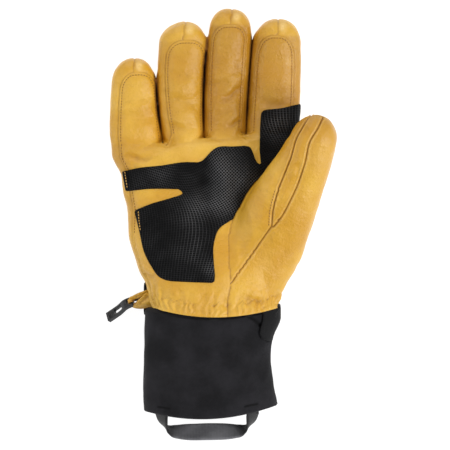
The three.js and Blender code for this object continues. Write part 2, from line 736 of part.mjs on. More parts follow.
// One ring round the cuff. Extra moves it along the hand.
function cuffRing(row, grow, extra = 0) {
  const low = row.low * cuffDepth - grow;
  const high = row.high * cuffDepth + grow;
  const left = row.left * cuffWidth - grow;
  const right = row.right * cuffWidth + grow;
  const middle = (left + right) / 2;
  const hemShare = THREE.MathUtils.smoothstep(row.along, 0.2, 1);
  const droop = hemRise + (cuffHemDrop - hemRise) * hemShare;
  const y = hemSideY - hemClearance - row.along * cuffLength + extra;
  const ring = [];
  for (let i = 0; i < CUFF_SIDES; i++) {
    const [u, v] = superellipse(turn(i, CUFF_SIDES), CUFF_SQUARENESS);
    const x = middle + (u * (right - left)) / 2;
    const z = (low + high) / 2 + (v * (high - low)) / 2;
    ring.push(new THREE.Vector3(x, y + cuffHemTilt * hemShare * u - droop * (1 - u * u), z));
  }
  return ring;
}

// The neck that is tucked inside the leather and sewn there, from one height above the hem to another.
function neckForm(grow, top, bottom) {
  const span = (HAND_SECTIONS[1].along - HAND_SECTIONS[0].along) * palmLength;
  const rings = [top, 0, bottom].map((up) => {
    const along = HAND_SECTIONS[0].along + up / palmLength;
    const offset = hemSideY + up - along * palmLength;
    const droop = hemRise * (1 - Math.min(Math.max(up, 0) / span, 1));
    return handRing(along, grow - handWall - restClearance, { count: INSIDE.hand, offset, droop });
  });
  return loft(rings);
}

function cuff() {
  const outer = loft(CUFF_SECTIONS.map((row) => cuffRing(row, 0))).add(neckForm(0, cuffTuck, -cuffWall));
  const rows = CUFF_SECTIONS.map((row, i) => cuffRing(row, -cuffWall, i === 0 ? -cuffWall : 0));
  const end = cuffRing(CUFF_SECTIONS.at(-1), -cuffWall, -FAR / 4);
  const hollow = loft([...rows, end]);
  const neckHollow = neckForm(-cuffWall, 2 * cuffTuck, -2 * cuffWall);
  const floor = block([-FAR, -FAR, -FAR], [FAR, FAR, 0]);
  const raisedFloor = block([-FAR, -FAR, -FAR], [FAR, FAR, cuffWall]);
  return mainBody(outer.subtract(floor).subtract(hollow.subtract(raisedFloor)).subtract(neckHollow));
}

// Wrist strap: from the pinky side over the back to the thumb side, where its end shows on the palm side.
function wristStrap() {
  const steps = 18;
  const halfX = (cuffWidth * 0.99) / 2 + restClearance + strapThickness;
  const halfZ = (cuffDepth * 0.96) / 2 + restClearance + strapThickness;
  const middleZ = halfZ + restClearance;
  const rings = [];
  for (let i = 0; i <= steps; i++) {
    const share = i / steps;
    const degrees = strapLeftAngle + (strapRightAngle - strapLeftAngle) * share;
    const angle = THREE.MathUtils.degToRad(degrees);
    const [u, v] = superellipse(angle, CUFF_SQUARENESS);
    const y = strapLeftY + (strapRightY - strapLeftY) * THREE.MathUtils.smoothstep(share, 0, 0.8);
    const outer = new THREE.Vector3(u * halfX + 0.01 * cuffWidth, y, middleZ + v * halfZ);
    const inner = new THREE.Vector3(
      u * (halfX - strapThickness) + 0.01 * cuffWidth, y, middleZ + v * (halfZ - strapThickness),
    );
    const half = new THREE.Vector3(0, strapWidth / 2, 0);
    rings.push([outer.clone().sub(half), outer.clone().add(half), inner.clone().add(half), inner.clone().sub(half)]);
  }
  return mainBody(loft(rings).subtract(wristRoom()));
}

// The room that the glove takes at the wrist, which the strap and the leather loop keep out of.
function wristRoom() {
  const cuffRoom = loft(CUFF_SECTIONS.map((row, i) => cuffRing(row, restClearance, i === 0 ? restClearance : 0)));
  const leatherRoom = gloveForm(2 * restClearance, { openEnd: restClearance }).add(gatherForm(2 * restClearance));
  return leatherRoom.add(cuffRoom);
}

// Pull loop

function cuffInnerTop(x) {
  const row = CUFF_SECTIONS.at(-1);
  const u = (x - ((row.left + row.right) / 2) * cuffWidth) / (((row.right - row.left) / 2) * cuffWidth - cuffWall);
  const halfDepth = ((row.high - row.low) / 2) * cuffDepth - cuffWall;
  const middle = ((row.high + row.low) / 2) * cuffDepth;
  return middle + halfDepth * (1 - Math.abs(u) ** CUFF_SQUARENESS) ** (1 / CUFF_SQUARENESS);
}

function pullLoop() {
  const hemY = hemSideY - hemClearance - cuffLength - cuffHemDrop + 2;
  const endLean = THREE.MathUtils.degToRad(PULL_PATH[0].lean);
  const z = cuffInnerTop(pullSpan / 2 - pullShift) - (Math.cos(endLean) * pullWidth) / 2 - 0.2 * restClearance;
  const stations = PULL_PATH.map(({ side, drop, lean }) => {
    const angle = THREE.MathUtils.degToRad(lean);
    const outward = new THREE.Vector3(side * 2.4, -(drop ** 3), 0).normalize();
    return {
      centre: new THREE.Vector3(pullShift + side * pullSpan, hemY - drop * pullDrop, z - pullSag * drop),
      width: pullWidth,
      across: new THREE.Vector3(0, 0, Math.cos(angle)).addScaledVector(outward, Math.sin(angle)),
    };
  });
  const ends = [stations[0], stations.at(-1)].map((station) => ({
    ...station,
    centre: station.centre.clone().add(new THREE.Vector3(0, pullAnchor, 0)),
  }));
  return strip([ends[0], ...stations, ends[1]], pullThickness);
}

// Clip and its leather loop

// The clip's own axes: its length, its width along the bar, and its face.
const clipTurned = new THREE.Matrix4()
  .makeRotationZ(THREE.MathUtils.degToRad(clipTurn))
  .multiply(new THREE.Matrix4().makeRotationY(THREE.MathUtils.degToRad(clipDip)))
  .multiply(new THREE.Matrix4().makeRotationX(THREE.MathUtils.degToRad(clipRoll)));
const [clipAlong, clipAcross, clipFace] = [0, 1, 2].map((k) =>
  new THREE.Vector3().setFromMatrixColumn(clipTurned, k),
);
const clipBarPlace = new THREE.Vector3(clipBarX, clipBarY, clipBarZ);

// The strip round the clip's bar. Each station is far enough out for the strip's own thickness.
function barStations() {
  const space = restClearance + clipLoopThickness / 2 + 0.1;
  return BAR_STEPS.map((degrees) => {
    const [u, v] = superellipse(THREE.MathUtils.degToRad(degrees), 4);
    return {
      centre: clipBarPlace
        .clone()
        .addScaledVector(clipAlong, u * (clipBar / 2 + space))
        .addScaledVector(clipFace, v * (clipThickness / 2 + space)),
      width: clipLoopNeck,
      across: clipAcross.clone().negate(),
    };
  });
}

function clipLoop() {
  const root = new THREE.Vector3(acrossHand(handAt(0, "left")), 0, palmDepth * 0.5);
  const round = barStations();
  const strand = (side) =>
    CLIP_LOOP_STRANDS.filter((row) => row.side === side).map(({ out, back, lift, lean, wide }) => {
      const angle = THREE.MathUtils.degToRad(lean);
      const end = side > 0 ? round[0] : round.at(-1);
      const centre = root.clone().lerp(end.centre, out);
      return {
        centre: centre.add(new THREE.Vector3(0, back * clipLoopWidth, lift * clipLoopWidth)),
        width: wide * clipLoopWidth,
        across: new THREE.Vector3(0, Math.sin(angle), Math.cos(angle) * -side),
      };
    });
  return mainBody(strip([...strand(1), ...round, ...strand(-1)], clipLoopThickness).subtract(wristRoom()));
}

function roundedRectangle(path, left, bottom, width, height, radius) {
  path.moveTo(left + radius, bottom);
  path.lineTo(left + width - radius, bottom);
  path.absarc(left + width - radius, bottom + radius, radius, -Math.PI / 2, 0);
  path.absarc(left + width - radius, bottom + height - radius, radius, 0, Math.PI / 2);
  path.absarc(left + radius, bottom + height - radius, radius, Math.PI / 2, Math.PI);
  path.absarc(left + radius, bottom + radius, radius, Math.PI, 1.5 * Math.PI);
  return path;
}

// The clip is drawn along +X from its bar, with its eye and its slot as holes, and then turned into place.
function clip() {
  const start = -clipBar / 2;
  const outline = roundedRectangle(new THREE.Shape(), start, -clipWidth / 2, clipLength, clipWidth, 0.3 * clipWidth);
  const openWidth = clipWidth - 2 * clipRail;
  const eye = roundedRectangle(new THREE.Path(), clipBar / 2, -openWidth / 2, clipEyeLength, openWidth, 0.4);
  const slotStart = clipBar / 2 + clipEyeLength + 1.6 * clipRail;
  const slot = roundedRectangle(new THREE.Path(), slotStart, -openWidth / 2, clipSlotLength, openWidth, 1);
  outline.holes.push(eye, slot);
  const geometry = new THREE.ExtrudeGeometry(outline, {
    depth: clipThickness, bevelEnabled: false, curveSegments: 2,
  });
  geometry.translate(0, 0, -clipThickness / 2);
  geometry.applyMatrix4(clipTurned);
  geometry.translate(clipBarX, clipBarY, clipBarZ);
  return solidFrom(geometry);
}

// Assembly

const glove = new THREE.Group();

function addPiece(name, solid, finish) {
  const mesh = new THREE.Mesh(geometryFrom(solid), new THREE.MeshStandardMaterial(COLOURS[finish]));
  mesh.name = name;
  glove.add(mesh);
}

addPiece("palm_panel", palmPanel, "leather");
addPiece("back_panel", backPanel, "leather");
const STRIP_NAMES = [
  "pinky_side_strip", "pinky_ring_fourchette", "ring_middle_fourchette", "middle_index_fourchette", "index_side_strip",
];
sideStrips().forEach((body, i) => addPiece(STRIP_NAMES[i], body, "leather"));
addPiece("thumb_inner_panel", thumbInner, "leather");
addPiece("thumb_wedge_panel", thumbWedge, "leather");
addPiece("thumb_outer_panel", thumbOuter, "leather");
addPiece("grip_patch", gripPatch(), "grip");
addPiece("cuff", cuff(), "cuff");
addPiece("wrist_strap", wristStrap(), "webbing");
addPiece("pull_loop", pullLoop(), "webbing");
addPiece("clip_loop", clipLoop(), "leather");
addPiece("glove_clip", clip(), "plastic");

const box = new THREE.Box3().setFromObject(glove);
glove.position.set(-(box.min.x + box.max.x) / 2, -(box.min.y + box.max.y) / 2, -box.min.z);

export default glove;
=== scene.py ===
"""A heated ski glove lying palm up on a pale floor: the finish of every piece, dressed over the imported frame.

Lengths are millimetres in the glove's own axes while a piece is drawn: +X towards the thumb, +Y towards the
fingertips, +Z out of the palm, and the wrist line at y = 0. Bench.placed turns them into metres in the shared
frame.
"""

import json
import logging
import math
from dataclasses import dataclass, field
from enum import Enum
from functools import partial
from typing import Callable, Iterable, Sequence

import bpy
import numpy as np
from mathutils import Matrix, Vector, kdtree, noise
from mathutils.bvhtree import BVHTree

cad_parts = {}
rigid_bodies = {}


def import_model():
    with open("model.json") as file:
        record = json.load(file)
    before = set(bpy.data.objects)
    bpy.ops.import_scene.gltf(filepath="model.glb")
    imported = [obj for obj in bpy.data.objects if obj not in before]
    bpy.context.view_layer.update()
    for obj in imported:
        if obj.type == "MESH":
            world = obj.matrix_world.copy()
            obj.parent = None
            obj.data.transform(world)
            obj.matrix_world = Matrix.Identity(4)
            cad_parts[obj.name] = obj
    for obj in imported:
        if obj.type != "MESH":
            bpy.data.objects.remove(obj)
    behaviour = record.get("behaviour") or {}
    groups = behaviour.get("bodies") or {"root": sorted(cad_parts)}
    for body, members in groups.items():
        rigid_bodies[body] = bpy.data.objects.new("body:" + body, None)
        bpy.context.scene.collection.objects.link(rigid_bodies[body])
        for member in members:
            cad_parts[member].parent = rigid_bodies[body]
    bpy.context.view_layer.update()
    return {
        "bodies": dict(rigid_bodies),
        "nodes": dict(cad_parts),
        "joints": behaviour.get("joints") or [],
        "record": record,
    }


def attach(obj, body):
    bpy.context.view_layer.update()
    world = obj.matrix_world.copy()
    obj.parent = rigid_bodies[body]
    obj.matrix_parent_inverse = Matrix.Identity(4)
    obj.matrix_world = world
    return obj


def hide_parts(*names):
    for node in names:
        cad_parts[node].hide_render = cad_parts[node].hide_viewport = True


log = logging.getLogger("ski_glove")
Array = np.ndarray

FAR = 400.0


# Numbers and curves


def smoothstep(value: Array, low: float, high: float) -> Array:
    """A smooth rise from 0 at low to 1 at high."""
    share = np.clip((np.asarray(value, float) - low) / (high - low), 0.0, 1.0)
    return share * share * (3.0 - 2.0 * share)


def bell(distance: Array, width: float) -> Array:
    """1 at no distance, falling away over width."""
    return np.exp(-((np.asarray(distance, float) / width) ** 2))


def curve_through(xs: Sequence[float], ys: Sequence[float], at: Array) -> Array:
    """A smooth curve through a table's values that never overshoots them.

    Args:
        xs: rising places of the table's rows.
        ys: the value at each place.
        at: places to read the curve at. Past the ends it goes on straight.

    Returns:
        The values at those places.
    """
    xs = np.asarray(xs, float)
    ys = np.asarray(ys, float)
    at = np.asarray(at, float)
    steps = np.diff(xs)
    slopes = np.diff(ys) / steps
    tangents = np.empty_like(ys)
    tangents[0], tangents[-1] = slopes[0], slopes[-1]
    same_way = slopes[1:] * slopes[:-1] > 0
    total = np.where(same_way, slopes[1:] + slopes[:-1], 1.0)
    tangents[1:-1] = np.where(same_way, 2.0 * slopes[1:] * slopes[:-1] / total, 0.0)
    i = np.clip(np.searchsorted(xs, at) - 1, 0, len(steps) - 1)
    t = np.clip((at - xs[i]) / steps[i], 0.0, 1.0)
    before = np.minimum(at - xs[0], 0.0) * tangents[0]
    after = np.maximum(at - xs[-1], 0.0) * tangents[-1]
    value = (
        ys[i] * (1 + 2 * t) * (1 - t) ** 2
        + tangents[i] * steps[i] * t * (1 - t) ** 2
        + ys[i + 1] * t * t * (3 - 2 * t)
        + tangents[i + 1] * steps[i] * t * t * (t - 1)
    )
    return value + before + after


def superellipse(angles: Array, squareness: float) -> tuple[Array, Array]:
    """Points of a superellipse as shares of its half sizes."""
    power = 2.0 / squareness
    cos, sin = np.cos(angles), np.sin(angles)
    return np.sign(cos) * np.abs(cos) ** power, np.sign(sin) * np.abs(sin) ** power


def even_angles(squareness: float, count: int) -> Array:
    """Angles whose superellipse points lie evenly along it."""
    fine = np.linspace(0.0, 2.0 * math.pi, 2881)
    u, v = superellipse(fine, squareness)
    run = np.concatenate([[0.0], np.cumsum(np.hypot(np.diff(u), np.diff(v)))])
    return np.interp(np.arange(count) / count * run[-1], run, fine)


def through(root: float, middle: float, tip: float, share: Array) -> Array:
    """A smooth value through three values at the root, the middle and the tip."""
    return (
        root * (1 - share) * (1 - 2 * share)
        + middle * 4 * share * (1 - share)
        + tip * share * (2 * share - 1)
    )


def to_segments(points: Array, line: Array) -> Array:
    """Plan distance from each point to a line of straight stretches."""
    best = np.full(len(points), FAR)
    for a, b in zip(line[:-1], line[1:]):
        along = b - a
        length = float(along @ along) or 1e-9
        t = np.clip(((points - a) @ along) / length, 0.0, 1.0)
        best = np.minimum(best, np.hypot(*(points - a - t[:, None] * along).T))
    return best


def inside(points: Array, outline: Array) -> Array:
    """Signed plan distance to a closed outline, positive inside it."""
    ring = np.vstack([outline, outline[:1]])
    odd = np.zeros(len(points), bool)
    x, y = points[:, 0], points[:, 1]
    for (ax, ay), (bx, by) in zip(ring[:-1], ring[1:]):
        if ay == by:
            continue
        crossing = (ay > y) != (by > y)
        odd ^= crossing & (x < (bx - ax) * (y - ay) / (by - ay) + ax)
    return np.where(odd, 1.0, -1.0) * to_segments(points, ring)


def spline(points: Sequence[tuple[float, float]], steps: int = 6) -> Array:
    """A smooth open curve through a few plan points."""
    p = np.asarray(points, float)
    run = np.concatenate([[0.0], np.cumsum(np.hypot(*np.diff(p, axis=0).T) ** 0.5)])
    ends = np.vstack([2 * p[0] - p[1], p, 2 * p[-1] - p[-2]])
    out = []
    for i in range(len(p) - 1):
        t = np.linspace(0.0, 1.0, steps, endpoint=False)[:, None]
        a, b, c, d = ends[i : i + 4]
        out.append(
            0.5 * (2 * b + (c - a) * t + (2 * a - 5 * b + 4 * c - d) * t**2 + (3 * b - a - 3 * c + d) * t**3)
        )
    return np.vstack([*out, p[-1:]])


def photo(x: float, y: float) -> tuple[float, float]:
    """The glove's place under a pixel of the photograph, which looks straight down on the palm."""
    return (x - Framing.wrist_x) * Framing.pixel, (Framing.wrist_y - y) * Framing.pixel


@dataclass(frozen=True)
class Framing:
    """How the photograph frames the glove: its side, its scale, the wrist's pixel and the camera's height."""

    side: int = 450
    pixel: float = 0.68
    wrist_x: float = 210.0
    wrist_y: float = 300.0
    distance: float = 12.0


# Meshes as arrays


def linked(name: str, data: bpy.types.ID) -> bpy.types.Object:
    """A new object of the scene."""
    made = bpy.data.objects.new(name, data)
    bpy.context.scene.collection.objects.link(made)
    return made


def corner_pairs(faces: Array) -> Array:
    """The three sides of every triangle, as pairs of points."""
    return np.vstack([faces[:, [0, 1]], faces[:, [1, 2]], faces[:, [2, 0]]])


@dataclass
class Surface:
    """A mesh held as arrays while it is shaped: points in millimetres and triangles."""

    points: Array
    faces: Array

    @classmethod
    def lofted(cls, rings: Array, closed: bool = False) -> "Surface":
        """A surface through rings of points. Its two ends are closed flat, or it goes round and meets itself.

        Args:
            rings: an array of rings, points and coordinates.
            closed: whether the last ring joins the first.

        Returns:
            The surface, wound so that it faces outwards.
        """
        count, around = rings.shape[:2]
        points = rings.reshape(-1, 3)
        rows = np.arange(count if closed else count - 1)
        here = rows[:, None] * around + np.arange(around)[None, :]
        beside = rows[:, None] * around + (np.arange(around)[None, :] + 1) % around
        above, above_beside = (here + around) % len(points), (beside + around) % len(points)
        faces = [np.stack([here, beside, above_beside], -1).reshape(-1, 3)]
        faces.append(np.stack([here, above_beside, above], -1).reshape(-1, 3))
        if not closed:
            for ring, order in ((0, (0, 2, 1)), (count - 1, (0, 1, 2))):
                hub = len(points)
                points = np.vstack([points, rings[ring].mean(axis=0)])
                edge = ring * around + np.arange(around)
                fan = np.stack([np.full(around, hub), edge, np.roll(edge, -1)], -1)
                faces.append(fan[:, order])
        made = cls(points, np.vstack(faces))
        a, b, c = (made.points[made.faces[:, k]] for k in range(3))
        if np.einsum("ij,ij->i", a, np.cross(b, c)).sum() < 0:
            made.faces = made.faces[:, ::-1]
        return made

    @classmethod
    def joined(cls, parts: Iterable["Surface"]) -> "Surface":
        """Several surfaces as one, each still its own body."""
        points, faces, start = [], [], 0
        for part in parts:
            points.append(part.points)
            faces.append(part.faces + start)
            start += len(part.points)
        return cls(np.vstack(points), np.vstack(faces))

    def remeshed(self, voxel: float) -> "Surface":
        """The bodies melted into one skin of even cells."""
        mesh = bpy.data.meshes.new("melt")
        mesh.from_pydata(self.points.tolist(), [], self.faces.tolist())
        obj = linked("melt", mesh)
        melt = obj.modifiers.new("melt", "REMESH")
        melt.mode = "VOXEL"
        melt.voxel_size = voxel
        melted = obj.evaluated_get(bpy.context.evaluated_depsgraph_get()).to_mesh()
        melted.calc_loop_triangles()
        points = np.empty(len(melted.vertices) * 3)
        melted.vertices.foreach_get("co", points)
        faces = np.empty(len(melted.loop_triangles) * 3, np.int32)
        melted.loop_triangles.foreach_get("vertices", faces)
        bpy.data.objects.remove(obj)
        bpy.data.meshes.remove(mesh)
        return Surface(points.reshape(-1, 3), faces.reshape(-1, 3).astype(np.int64))

    def edges(self) -> Array:
        """Every edge once."""
        return np.unique(np.sort(corner_pairs(self.faces), axis=1), axis=0)

    def spread(self, values: Array, edges: Array) -> Array:
        """The mean of each point's neighbours' values."""
        count = len(self.points)
        number = np.bincount(edges.ravel(), minlength=count).astype(float)
        out = np.empty_like(values)
        for k in range(values.shape[1]):
            total = np.bincount(edges[:, 0], values[edges[:, 1], k], count)
            total += np.bincount(edges[:, 1], values[edges[:, 0], k], count)
            out[:, k] = total / np.maximum(number, 1.0)
        return out

    def smooth(self, rounds: int, keep: Array | None = None) -> None:
        """Evens out the steps that melting leaves, without shrinking the form. Keep holds points still."""
        edges = self.edges()
        for _ in range(rounds):
            for factor in (0.5, -0.53):
                move = (self.spread(self.points, edges) - self.points) * factor
                if keep is not None:
                    move[keep] = 0.0
                self.points = self.points + move

    def normals(self) -> Array:
        """The outward direction at each point."""
        a, b, c = (self.points[self.faces[:, k]] for k in range(3))
        face = np.cross(b - a, c - a)
        out = np.zeros_like(self.points)
        for k in range(3):
            for axis in range(3):
                out[:, axis] += np.bincount(self.faces[:, k], face[:, axis], len(self.points))
        return out / np.maximum(np.linalg.norm(out, axis=1, keepdims=True), 1e-12)

    def snap(self, values: Array) -> Array:
        """Moves points onto the line where a field crosses zero, so that edges run along it.

        Args:
            values: the field at each point.

        Returns:
            The field after the move, exactly zero at the moved points.
        """
        edges = self.edges()
        a, b = edges.T
        crossing = values[a] * values[b] < 0
        a, b = a[crossing], b[crossing]
        share = values[a] / (values[a] - values[b])
        mover = np.where(share < 0.5, a, b)
        target = self.points[a] + share[:, None] * (self.points[b] - self.points[a])
        reach = np.minimum(share, 1.0 - share)
        order = np.argsort(-reach)
        points, values = self.points.copy(), values.copy()
        points[mover[order]] = target[order]
        values[mover] = 0.0
        self.points = points
        return values

    def sides(self, values: Array) -> Array:
        """Which faces lie where a snapped field is above zero."""
        return values[self.faces].sum(axis=1) > 0

    def part(self, chosen: Array) -> tuple["Surface", Array]:
        """The chosen faces as a surface of their own, with the old number of each of its points."""
        faces = self.faces[chosen]
        used, fresh = np.unique(faces, return_inverse=True)
        return Surface(self.points[used], fresh.reshape(-1, 3)), used

    def rim(self) -> Array:
        """The edges that only one face has."""
        pairs = corner_pairs(self.faces)
        _, index, count = np.unique(np.sort(pairs, axis=1), axis=0, return_index=True, return_counts=True)
        return pairs[index[count == 1]]


def distance_to(points: Array, line: Array) -> Array:
    """Distance from each point to the nearest of a cloud of line points."""
    if len(line) == 0:
        return np.full(len(points), FAR)
    tree = kdtree.KDTree(len(line))
    for i, place in enumerate(line):
        tree.insert(place, i)
    tree.balance()
    return np.array([tree.find(place)[2] for place in points])


def fine_noise(points: Array, size: float, seed: float = 0.0) -> Array:
    """Smooth noise between about -1 and 1 whose lumps are about size across."""
    shifted = points / size + seed
    return np.array([noise.noise(Vector(place)) for place in shifted])


# Materials


def linear(red: int, green: int, blue: int) -> tuple[float, float, float, float]:
    """A screen colour from 0 to 255 as the linear colour that a shader takes."""
    values = [c / 255.0 for c in (red, green, blue)]
    return (*(c / 12.92 if c <= 0.04045 else ((c + 0.055) / 1.055) ** 2.4 for c in values), 1.0)


class Value:
    """A number that runs through a material. Arithmetic on it adds Math nodes."""

    def __init__(self, recipe: "Recipe", socket: bpy.types.NodeSocket) -> None:
        """Wraps one output socket of the recipe."""
        self.recipe = recipe
        self.socket = socket

    def math(self, operation: str, first: object, second: object) -> "Value":
        """One Math node on two numbers."""
        node = self.recipe.node("ShaderNodeMath", {"operation": operation}, {0: first, 1: second})
        return Value(self.recipe, node.outputs[0])

    def __add__(self, other: object) -> "Value":
        """The sum."""
        return self.math("ADD", self, other)

    __radd__ = __add__

    def __sub__(self, other: object) -> "Value":
        """The difference."""
        return self.math("SUBTRACT", self, other)

    def __rsub__(self, other: object) -> "Value":
        """The difference from a number on the left."""
        return self.math("SUBTRACT", other, self)

    def __mul__(self, other: object) -> "Value":
        """The product."""
        return self.math("MULTIPLY", self, other)

    __rmul__ = __mul__

    def __pow__(self, other: object) -> "Value":
        """The power."""
        return self.math("POWER", self, other)

    def wave(self) -> "Value":
        """The sine, moved to run from 0 to 1."""
        return self.math("SINE", self, 0.0) * 0.5 + 0.5

    def band(self, low: float, high: float) -> "Value":
        """A smooth rise from 0 at low to 1 at high."""
        sockets = {"Value": self, "From Min": low, "From Max": high}
        node = self.recipe.node("ShaderNodeMapRange", {"interpolation_type": "SMOOTHSTEP"}, sockets)
        return Value(self.recipe, node.outputs["Result"])


class Recipe:
    """The nodes of one material."""

    def __init__(self, name: str) -> None:
        """Starts a material that has only its shader and its output."""
        self.material = bpy.data.materials.new(name)
        self.material.use_nodes = True
        self.tree = self.material.node_tree
        self.shader = self.tree.nodes["Principled BSDF"]
        self.place = self.node("ShaderNodeTexCoord", {}, {}).outputs["Object"]

    def node(self, kind: str, settings: dict, sockets: dict) -> bpy.types.Node:
        """Adds a node.

        Args:
            kind: the node's Blender type.
            settings: its own settings, set first.
            sockets: a value or a link for each input, by name or number.

        Returns:
            The node.
        """
        made = self.tree.nodes.new(kind)
        for key, value in settings.items():
            setattr(made, key, value)
        for key, value in sockets.items():
            self.connect(made.inputs[key], value)
        return made

    def connect(self, socket: bpy.types.NodeSocket, value: object) -> None:
        """Sets an input to a number or links it to an output."""
        if isinstance(value, Value):
            value = value.socket
        if isinstance(value, bpy.types.NodeSocket):
            self.tree.links.new(value, socket)
        else:
            socket.default_value = value

    def carried(self, name: str) -> Value:
        """A number that the mesh carries at its points."""
        node = self.node("ShaderNodeAttribute", {"attribute_name": name}, {})
        return Value(self, node.outputs["Fac"])

    def noise(self, size: float, detail: float = 2.0, roughness: float = 0.5) -> Value:
        """Noise from 0 to 1 whose lumps are about size millimetres across."""
        sockets = {"Vector": self.place, "Scale": 1000.0 / size, "Detail": detail, "Roughness": roughness}
        return Value(self, self.node("ShaderNodeTexNoise", {}, sockets).outputs[0])

    def cells(self, size: float) -> Value:
        """Distance within soft cells that are about size millimetres across."""
        sockets = {"Vector": self.place, "Scale": 1000.0 / size}
        node = self.node("ShaderNodeTexVoronoi", {"feature": "SMOOTH_F1"}, sockets)
        return Value(self, node.outputs["Distance"])

    def mixed(self, share: object, first: object, second: object) -> bpy.types.NodeSocket:
        """A colour between two."""
        sockets = {0: share, 6: first, 7: second}
        return self.node("ShaderNodeMix", {"data_type": "RGBA"}, sockets).outputs[2]

    def bumped(self, height: object, depth: float, before: object = None) -> bpy.types.NodeSocket:
        """A surface direction raised by a height of up to depth millimetres."""
        sockets = {"Height": height, "Distance": depth / 1000.0, "Strength": 1.0}
        if before is not None:
            sockets["Normal"] = before
        return self.node("ShaderNodeBump", {}, sockets).outputs["Normal"]

    def set(self, **sockets: object) -> None:
        """Sets the shader's sockets, with underscores for the spaces in their names."""
        for name, value in sockets.items():
            self.connect(self.shader.inputs[name.replace("_", " ")], value)


@dataclass(frozen=True)
class Leather:
    """Tan goatskin with a fine grain: painted shade darkens its creases, seams and finger pads, painted shadow
    fills its finger slits, and painted highlights pale its ridges and caps.
    """

    name: str = "tan_leather"
    slot: str = "leather"
    body: tuple = linear(207, 151, 28)
    # Painted shade in creases, seams and folds, also the grain's darker pores and random mottle
    deep: tuple = linear(150, 98, 26)
    pale: tuple = linear(228, 179, 62)
    # Painted shade that browns the finger pads
    brown: tuple = linear(170, 114, 10)
    # Painted highlight on ridges, caps and other places that face the light
    ridge: tuple = linear(240, 200, 116)
    shadow: tuple = linear(52, 34, 18)

    def make(self) -> bpy.types.Material:
        """Builds the material."""
        recipe = Recipe(self.name)
        blotch = recipe.noise(34.0, 3.0, 0.55)
        colour = recipe.mixed(blotch.band(0.3, 0.75), self.body, self.pale)
        # Painted shade browns the finger pads
        colour = recipe.mixed(recipe.carried("painted_pad_shade"), colour, self.brown)
        # crease carries painted shade where it is positive and painted highlight where it is negative
        crease = recipe.carried("crease")
        mottle = recipe.noise(5.0, 4.0, 0.6).band(0.35, 0.8) * 0.2
        pebble = recipe.cells(1.3)
        pores = (1.0 - pebble).band(0.55, 1.0) * 0.12
        colour = recipe.mixed((crease * 0.8 + mottle + pores).band(0.0, 1.0), colour, self.deep)
        colour = recipe.mixed(crease.band(1.0, 1.9), colour, self.shadow)
        # Painted highlight where crease is negative
        colour = recipe.mixed((0.0 - crease).band(0.0, 1.0), colour, self.ridge)
        fine = recipe.noise(0.6, 3.0, 0.6)
        normal = recipe.bumped(pebble * 0.8 + fine * 0.5, 0.22)
        wrinkle = recipe.noise(3.4, 5.0, 0.66)
        normal = recipe.bumped(wrinkle, 0.8, normal)
        rough = 0.34 + pebble * 0.1 + crease * 0.16
        recipe.set(Base_Color=colour, Roughness=rough, Normal=normal, Specular_IOR_Level=0.6)
        return recipe.material


@dataclass(frozen=True)
class Suede:
    """The leather's matte inner side."""

    name: str = "suede_inside"

    def make(self) -> bpy.types.Material:
        """Builds the material."""
        recipe = Recipe(self.name)
        nap = recipe.noise(1.4, 4.0, 0.7)
        colour = recipe.mixed(nap.band(0.3, 0.7), linear(150, 118, 74), linear(122, 92, 54))
        recipe.set(Base_Color=colour, Roughness=0.95, Normal=recipe.bumped(nap, 0.2))
        return recipe.material


@dataclass(frozen=True)
class Thread:
    """Sewing thread in two shades."""

    name: str
    colour: tuple
    light: tuple
    slot: str = "leather"

    def make(self) -> bpy.types.Material:
        """Builds the material."""
        recipe = Recipe(self.name)
        twist = recipe.noise(0.3, 2.0)
        colour = recipe.mixed(twist, self.colour, self.light)
        recipe.set(Base_Color=colour, Roughness=0.7, Normal=recipe.bumped(twist, 0.05))
        return recipe.material


@dataclass(frozen=True)
class Grip:
    """Black rubbery leather pressed with a curved lattice of small square pits."""

    name: str = "grip_lattice"
    slot: str = "grip"

    def make(self) -> bpy.types.Material:
        """Builds the material."""
        recipe = Recipe(self.name)
        across = recipe.carried("lattice_u")
        along = recipe.carried("lattice_v")
        ridge_u = (across * (2.0 * math.pi)).wave() ** 6.0
        ridge_v = (along * (2.0 * math.pi)).wave() ** 6.0
        lattice = ridge_u.math("MAXIMUM", ridge_u, ridge_v)
        knot = ridge_u * ridge_v
        # Painted sheen greys the ridges at given places; worn is random wear
        painted_sheen = recipe.carried("painted_sheen")
        worn = recipe.noise(11.0, 3.0).band(0.3, 0.8)
        light = lattice * (worn * 0.13 + painted_sheen * 0.42 + 0.06) + knot * 0.04
        colour = recipe.mixed(light.band(0.0, 1.0), linear(2, 2, 3), linear(150, 150, 152))
        rough = 0.72 - lattice * 0.18 + worn * 0.06
        height = lattice + knot * 0.4 + recipe.noise(0.8, 2.0) * 0.15
        normal = recipe.bumped(height, 0.4)
        recipe.set(Base_Color=colour, Roughness=rough, Normal=normal, Specular_IOR_Level=0.15)
        return recipe.material


